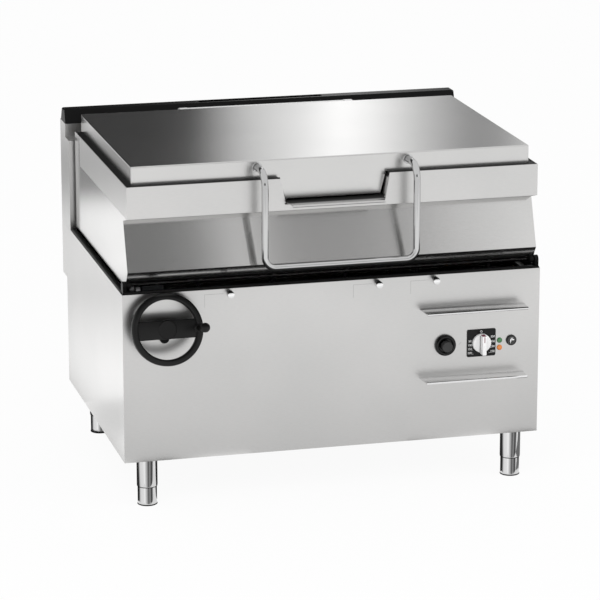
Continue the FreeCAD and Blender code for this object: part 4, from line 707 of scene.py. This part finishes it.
def dial_marks():
    """Printed numbers, leader lines and the off mark round the knob."""
    centre = middle("dial_plate")
    face = low("dial_plate").y - PRINT_RISE * MM
    marks = bmesh.new()
    columns = ((-1, ("50", "100", "150", "200"), 6.0, 11.5), (1, ("350", "300", "250", "220"), 16.0, 14.5))
    for side, words, first, drop in columns:
        for row, word in enumerate(words):
            x = centre.x + side * LABEL_OFFSET * MM
            z = centre.z + (first - drop * row) * MM
            write(marks, word, x, face, z, LABEL_SIZE)
            if row > 1 or side < 0:
                near = centre.x + side * LEADER_ENDS[0] * MM
                far = centre.x + side * (LEADER_ENDS[1] - LEADER_STEP * max(0, row - 1)) * MM
                slab(marks, Vector((min(near, far) - 0.2 * MM, face - PRINT_RISE * MM, z - 3.6 * MM)),
                     Vector((max(near, far) + 0.2 * MM, face + PRINT_RISE * MM, z - 3.0 * MM)))
    top = Vector((centre.x, face, centre.z + 33.0 * MM))
    turned(marks, RING_PROFILE, top, -Y, steps=24)
    settle("dial_marks", marks, "print_white", "cabinet")


def write(bm, word, x, y, z, size):
    """Flat printed word on the front, centred on a place."""
    curve = bpy.data.curves.new("word", "FONT")
    curve.body = word
    curve.size = size * MM * FONT_FACTOR
    curve.align_x = "CENTER"
    curve.align_y = "CENTER"
    text = bpy.data.objects.new("word", curve)
    mesh = bpy.data.meshes.new_from_object(text)
    mesh.transform(Matrix.Translation((x, y, z)) @ Matrix.Rotation(math.pi / 2, 4, "X"))
    bm.from_mesh(mesh)
    bpy.data.objects.remove(text)
    bpy.data.curves.remove(curve)
    bpy.data.meshes.remove(mesh)


def panel_seam_shade():
    """Painted shade of fine L-shaped seams beside the studs: grey strips on their top and left edges only."""
    bm = bmesh.new()
    z = middle("panel_studs").z
    front = PANEL - SEAM_RISE * MM
    back = PANEL + SEAM_SINK * MM
    for place in STUD_PLACES:
        left = (place - SEAM_OFFSET) * MM
        right = (place - STUD_RADIUS - SEAM_STUD_GAP) * MM
        slab(bm, Vector((left, front, z - SEAM_WIDTH * MM)), Vector((right, back, z)))
        slab(bm, Vector((left, front, z - SEAM_DROP * MM)), Vector((left + SEAM_WIDTH * MM, back, z)))
    settle("panel_seam_shade", bm, "seam_shadow", "cabinet")


def spark_mark():
    """Small slanted mark beside the igniter."""
    bm = bmesh.new()
    centre = Vector((SPARK_PLACE[0] * MM, PANEL - PRINT_RISE * MM, SPARK_PLACE[1] * MM))
    half = Vector(SPARK_HALF) * MM
    made = slab(bm, centre - half, centre + half)
    turn = Matrix.Rotation(math.radians(SPARK_TURN), 3, "Y")
    bmesh.ops.rotate(bm, cent=centre, matrix=turn, verts=made["verts"])
    settle("spark_mark", bm, "seam_shadow", "cabinet")


def tap_sign():
    """Tap pictogram printed on the water button."""
    centre = middle("water_button")
    face = low("water_button").y
    bm = bmesh.new()
    for x0, z0, x1, z1 in TAP_STROKES:
        slab(bm, Vector((centre.x + x0 * MM, face - 0.08 * MM, centre.z + z0 * MM)),
             Vector((centre.x + x1 * MM, face + 0.02 * MM, centre.z + z1 * MM)))
    settle("tap_sign", bm, "print_white", "water_button")


# Stage


def stage():
    """Pale floor, white surroundings, soft lamps and reflecting cards."""
    scene = bpy.context.scene
    scene.view_settings.view_transform = "Standard"
    world = bpy.data.worlds.new("studio")
    scene.world = world
    world.use_nodes = True
    tree = world.node_tree
    tree.nodes.clear()
    seen = seen_directly(tree)
    strength = add(tree, "ShaderNodeMapRange", {"To Min": WORLD_LIGHT, "To Max": 1.0}, {"Value": seen})
    sky = add(tree, "ShaderNodeBackground", {"Color": (1, 1, 1, 1)},
              {"Strength": strength.outputs["Result"]})
    add(tree, "ShaderNodeOutputWorld", links={"Surface": sky.outputs["Background"]})
    floor()
    lamp("key", (-2.6, -3.6, 4.2), (0.0, 0.0, 0.5), 3.0, 75.0)
    lamp("fill", (3.4, -3.0, 2.6), (0.0, 0.0, 0.5), 2.6, 45.0)
    cards()
    camera()


def seen_directly(tree):
    """1 for camera, glossy and transmission rays, else 0."""
    path = add(tree, "ShaderNodeLightPath")
    seen = add(tree, "ShaderNodeMath", {"operation": "MAXIMUM"},
               {0: path.outputs["Is Camera Ray"], 1: path.outputs["Is Glossy Ray"]})
    seen = add(tree, "ShaderNodeMath", {"operation": "MAXIMUM"},
               {0: seen.outputs["Value"], 1: path.outputs["Is Transmission Ray"]})
    return seen.outputs["Value"]


def floor():
    """Wide pale floor that keeps a soft shadow."""
    thing, tree = rectangle("floor", (-FLOOR_HALF, -FLOOR_HALF, FLOOR_LEVEL),
                            (FLOOR_HALF, FLOOR_HALF, FLOOR_LEVEL))
    share = add(tree, "ShaderNodeMath", {"operation": "MULTIPLY", 1: FLOOR_GLOW}, {0: seen_directly(tree)})
    paper = add(tree, "ShaderNodeBsdfDiffuse", {"Color": (0.9, 0.9, 0.9, 1.0)})
    glow = add(tree, "ShaderNodeEmission", {"Color": (1, 1, 1, 1), "Strength": 1.0})
    mix = add(tree, "ShaderNodeMixShader", {}, {0: share.outputs["Value"], 1: paper.outputs["BSDF"],
                                                2: glow.outputs["Emission"]})
    add(tree, "ShaderNodeOutputMaterial", links={"Surface": mix.outputs["Shader"]})


def rectangle(name, lowest, highest):
    """Flat rectangle of the stage with an empty material."""
    lowest, highest = Vector(lowest), Vector(highest)
    corners = [lowest, lowest.copy(), highest, lowest.copy()]
    first, second = [axis for axis in range(3) if highest[axis] != lowest[axis]]
    corners[1][first] = highest[first]
    corners[3][second] = highest[second]
    bm = bmesh.new()
    bm.faces.new([bm.verts.new(corner) for corner in corners])
    mesh = bpy.data.meshes.new(name)
    bm.to_mesh(mesh)
    bm.free()
    thing = bpy.data.objects.new(name, mesh)
    bpy.context.scene.collection.objects.link(thing)
    material = bpy.data.materials.new(name + "_surface")
    material.use_nodes = True
    material.node_tree.nodes.clear()
    mesh.materials.append(material)
    return thing, material.node_tree


def card(name, lowest, highest, along, stops, strength):
    """Card that only reflections show, with its brightness in steps along one axis."""
    thing, tree = rectangle(name, lowest, highest)
    place = add(tree, "ShaderNodeTexCoord").outputs["Object"]
    apart = add(tree, "ShaderNodeSeparateXYZ", links={"Vector": place})
    axis = "XYZ".index(along)
    run = add(tree, "ShaderNodeMapRange", {"From Min": lowest[axis], "From Max": highest[axis]},
              {"Value": apart.outputs[along]})
    colour = ramp(tree, run.outputs["Result"], stops)
    glow = add(tree, "ShaderNodeEmission", {"Strength": strength}, {"Color": colour})
    add(tree, "ShaderNodeOutputMaterial", links={"Surface": glow.outputs["Emission"]})
    thing.visible_camera = False
    thing.visible_diffuse = False
    thing.visible_shadow = False
    return thing


def cards():
    """Studio cards round the machine."""
    # Behind it and above, for the lid: a dark left end, one bright zone and a middle tone
    card("card_behind", (-3.5, 2.2, 1.0), (4.5, 2.2, 3.4), "X",
         ((0.0, "303030"), (0.44, "303030"), (0.460, "3c3c3c"), (0.484, "b8b8b8"), (0.509, "d8d8d8"),
          (0.527, "fafafa"), (0.543, "e8e8e8"), (0.563, "bcbcbc"), (0.589, "808080"), (0.605, "848484"),
          (0.62, "c0c0c0"), (1.0, "c0c0c0")), 1.6)
    # In front and above, for the slanted front of the pan casing
    card("card_high_front", (-3.0, -3.5, 1.85), (4.0, -3.5, 2.75), "X",
         ((0.0, "696969"), (0.490, "6c6c6c"), (0.502, "ffffff"), (0.514, "ffffff"), (0.518, "787878"),
          (0.6, "a4a4a4"), (0.66, "e3e3e3"), (1.0, "ffffff")), 1.45)
    # On the floor in front, for the upright fronts
    card("card_floor_front", (-3.0, -4.5, 0.002), (4.0, -0.55, 0.002), "Y",
         ((0.0, "ffffff"), (0.5, "fafafa"), (1.0, "cccccc")), 1.28)
    # On the floor at the left, for the left sides: darker towards the rear and near the machine
    card("card_floor_left", (-3.0, -0.1, 0.003), (-0.74, 4.5, 0.003), "Y",
         ((0.0, "ffffff"), (0.24, "f8f8f8"), (0.35, "e4e4e4"), (0.435, "c8c8c8"), (0.53, "bcbcbc"),
          (0.76, "a6a6a6"), (1.0, "a0a0a0")), 1.6)
    card("card_floor_far_left", (-3.0, 2.1, 0.004), (-1.03, 4.5, 0.004), "Y",
         ((0.0, "f3f3f3"), (0.083, "f7f7f7"), (0.167, "efefef"), (0.333, "efefef"), (0.396, "ebebeb"),
          (0.458, "dddddd"), (0.52, "b6b6b6"), (0.583, "7c7c7c"), (1.0, "787878")), 1.5)
    card("card_floor_left_edge", (-0.74, -0.1, 0.003), (-0.61, 4.5, 0.003), "X",
         ((0.0, "f4f4f4"), (0.5, "b0b0b0"), (1.0, "808080")), 1.4)
    # On the floor at the right and under the machine: dark, for the legs
    card("card_floor_right", (0.62, -0.6, 0.003), (3.0, 2.6, 0.003), "Y",
         ((0.0, "7a7a7a"), (1.0, "8a8a8a")), 1.0)
    card("card_floor_under", (-0.60, -0.33, 0.003), (0.60, 2.6, 0.003), "Y",
         ((0.0, "303030"), (1.0, "505050")), 1.0)
    # In front of the gap under the pan: dark, for the foot of the casing
    card("card_under_pan", (-0.62, -0.62, 0.613), (0.62, PANEL - 2.0 * MM, 0.613), "Y",
         ((0.0, "808080"), (0.5, "3c3c3c"), (1.0, "181818")), 1.0)
    leg_cards()
    spout_cards()


def leg_cards():
    """Striped cards close to each leg, which give its tube the stripes of a narrow room."""
    stripes = ((0.0, "909090"), (0.18, "d8d8d8"), (0.33, "f4f4f4"), (0.40, "ffffff"), (0.467, "b0b0b0"),
               (0.505, "4a4a4a"), (0.533, "989898"), (0.556, "707070"), (0.582, "2c2c2c"),
               (0.625, "707070"), (0.663, "c0c0c0"), (0.80, "ffffff"), (1.0, "ffffff"))
    shade = ((0.0, "ffffff"), (0.17, "f0f0f0"), (0.24, "303030"), (1.0, "181818"))
    for name in FEET:
        foot = middle("foot_" + name)
        front = foot.y - 0.08
        left = foot.x - 0.07
        card("card_leg_front_" + name, (foot.x - LEG_CARD_HALF, front, LEG_CARD_BOTTOM),
             (foot.x + LEG_CARD_HALF, front, LEG_CARD_TOP), "X", stripes, 1.25)
        card("card_leg_left_" + name, (left, foot.y - 0.075, LEG_CARD_BOTTOM),
             (left, foot.y + LEG_CARD_HALF, LEG_CARD_TOP), "Y", shade, 1.1)


def spout_cards():
    """Dark cards in the spout's mouth, which lies in the tongue's shade."""
    face = low("lid_shell").y - 0.6 * MM
    level = low("spout").z + 7.6 * MM
    side = 142.5 * MM
    lean = 10.0 * MM
    card("card_spout_floor", (-side, face - 50.0 * MM, level), (side, face, level), "Y",
         ((0.0, "c0c0c0"), (0.25, "404040"), (1.0, "181818")), 1.0)
    upright = card("card_spout_side", (side, face - 48.0 * MM, level), (side, face, level + 58.0 * MM), "Y",
                   ((0.0, "ffffff"), (0.45, "303030"), (1.0, "101010")), 1.0)
    for vert in upright.data.vertices:
        if vert.co.z > level + 1.0 * MM:
            vert.co.x += lean


def lamp(name, place, aim, size, power):
    """Square soft lamp that looks at a point."""
    data = bpy.data.lights.new(name, "AREA")
    data.size = size
    data.energy = power
    thing = bpy.data.objects.new(name, data)
    thing.location = place
    thing.rotation_euler = (Vector(aim) - Vector(place)).to_track_quat("-Z", "Y").to_euler()
    thing.visible_camera = False
    thing.visible_glossy = False
    bpy.context.scene.collection.objects.link(thing)


def camera():
    """Camera at the photograph's place."""
    data = bpy.data.cameras.new("camera")
    data.lens = CAMERA_LENS
    data.sensor_width = SENSOR
    thing = bpy.data.objects.new("camera", data)
    offset = Vector((0, PANEL, 0))
    place = CAMERA_FROM_PANEL + offset
    thing.location = place
    thing.rotation_euler = (AIM_FROM_PANEL + offset - place).to_track_quat("-Z", "Y").to_euler()
    data.clip_end = 100.0
    bpy.context.scene.collection.objects.link(thing)
    bpy.context.scene.camera = thing


def build():
    """Finishes, rounded fittings, marks and stage."""
    dress_nodes()
    lid_handle()
    handwheel()
    wheel_grip()
    legs()
    leg_shade_bushes()
    feet()
    ignition()
    knob()
    lamps()
    studs()
    guard_rail("guard_rail_upper")
    guard_rail("guard_rail_lower")
    dial_marks()
    panel_seam_shade()
    spark_mark()
    tap_sign()
    stage()


build()
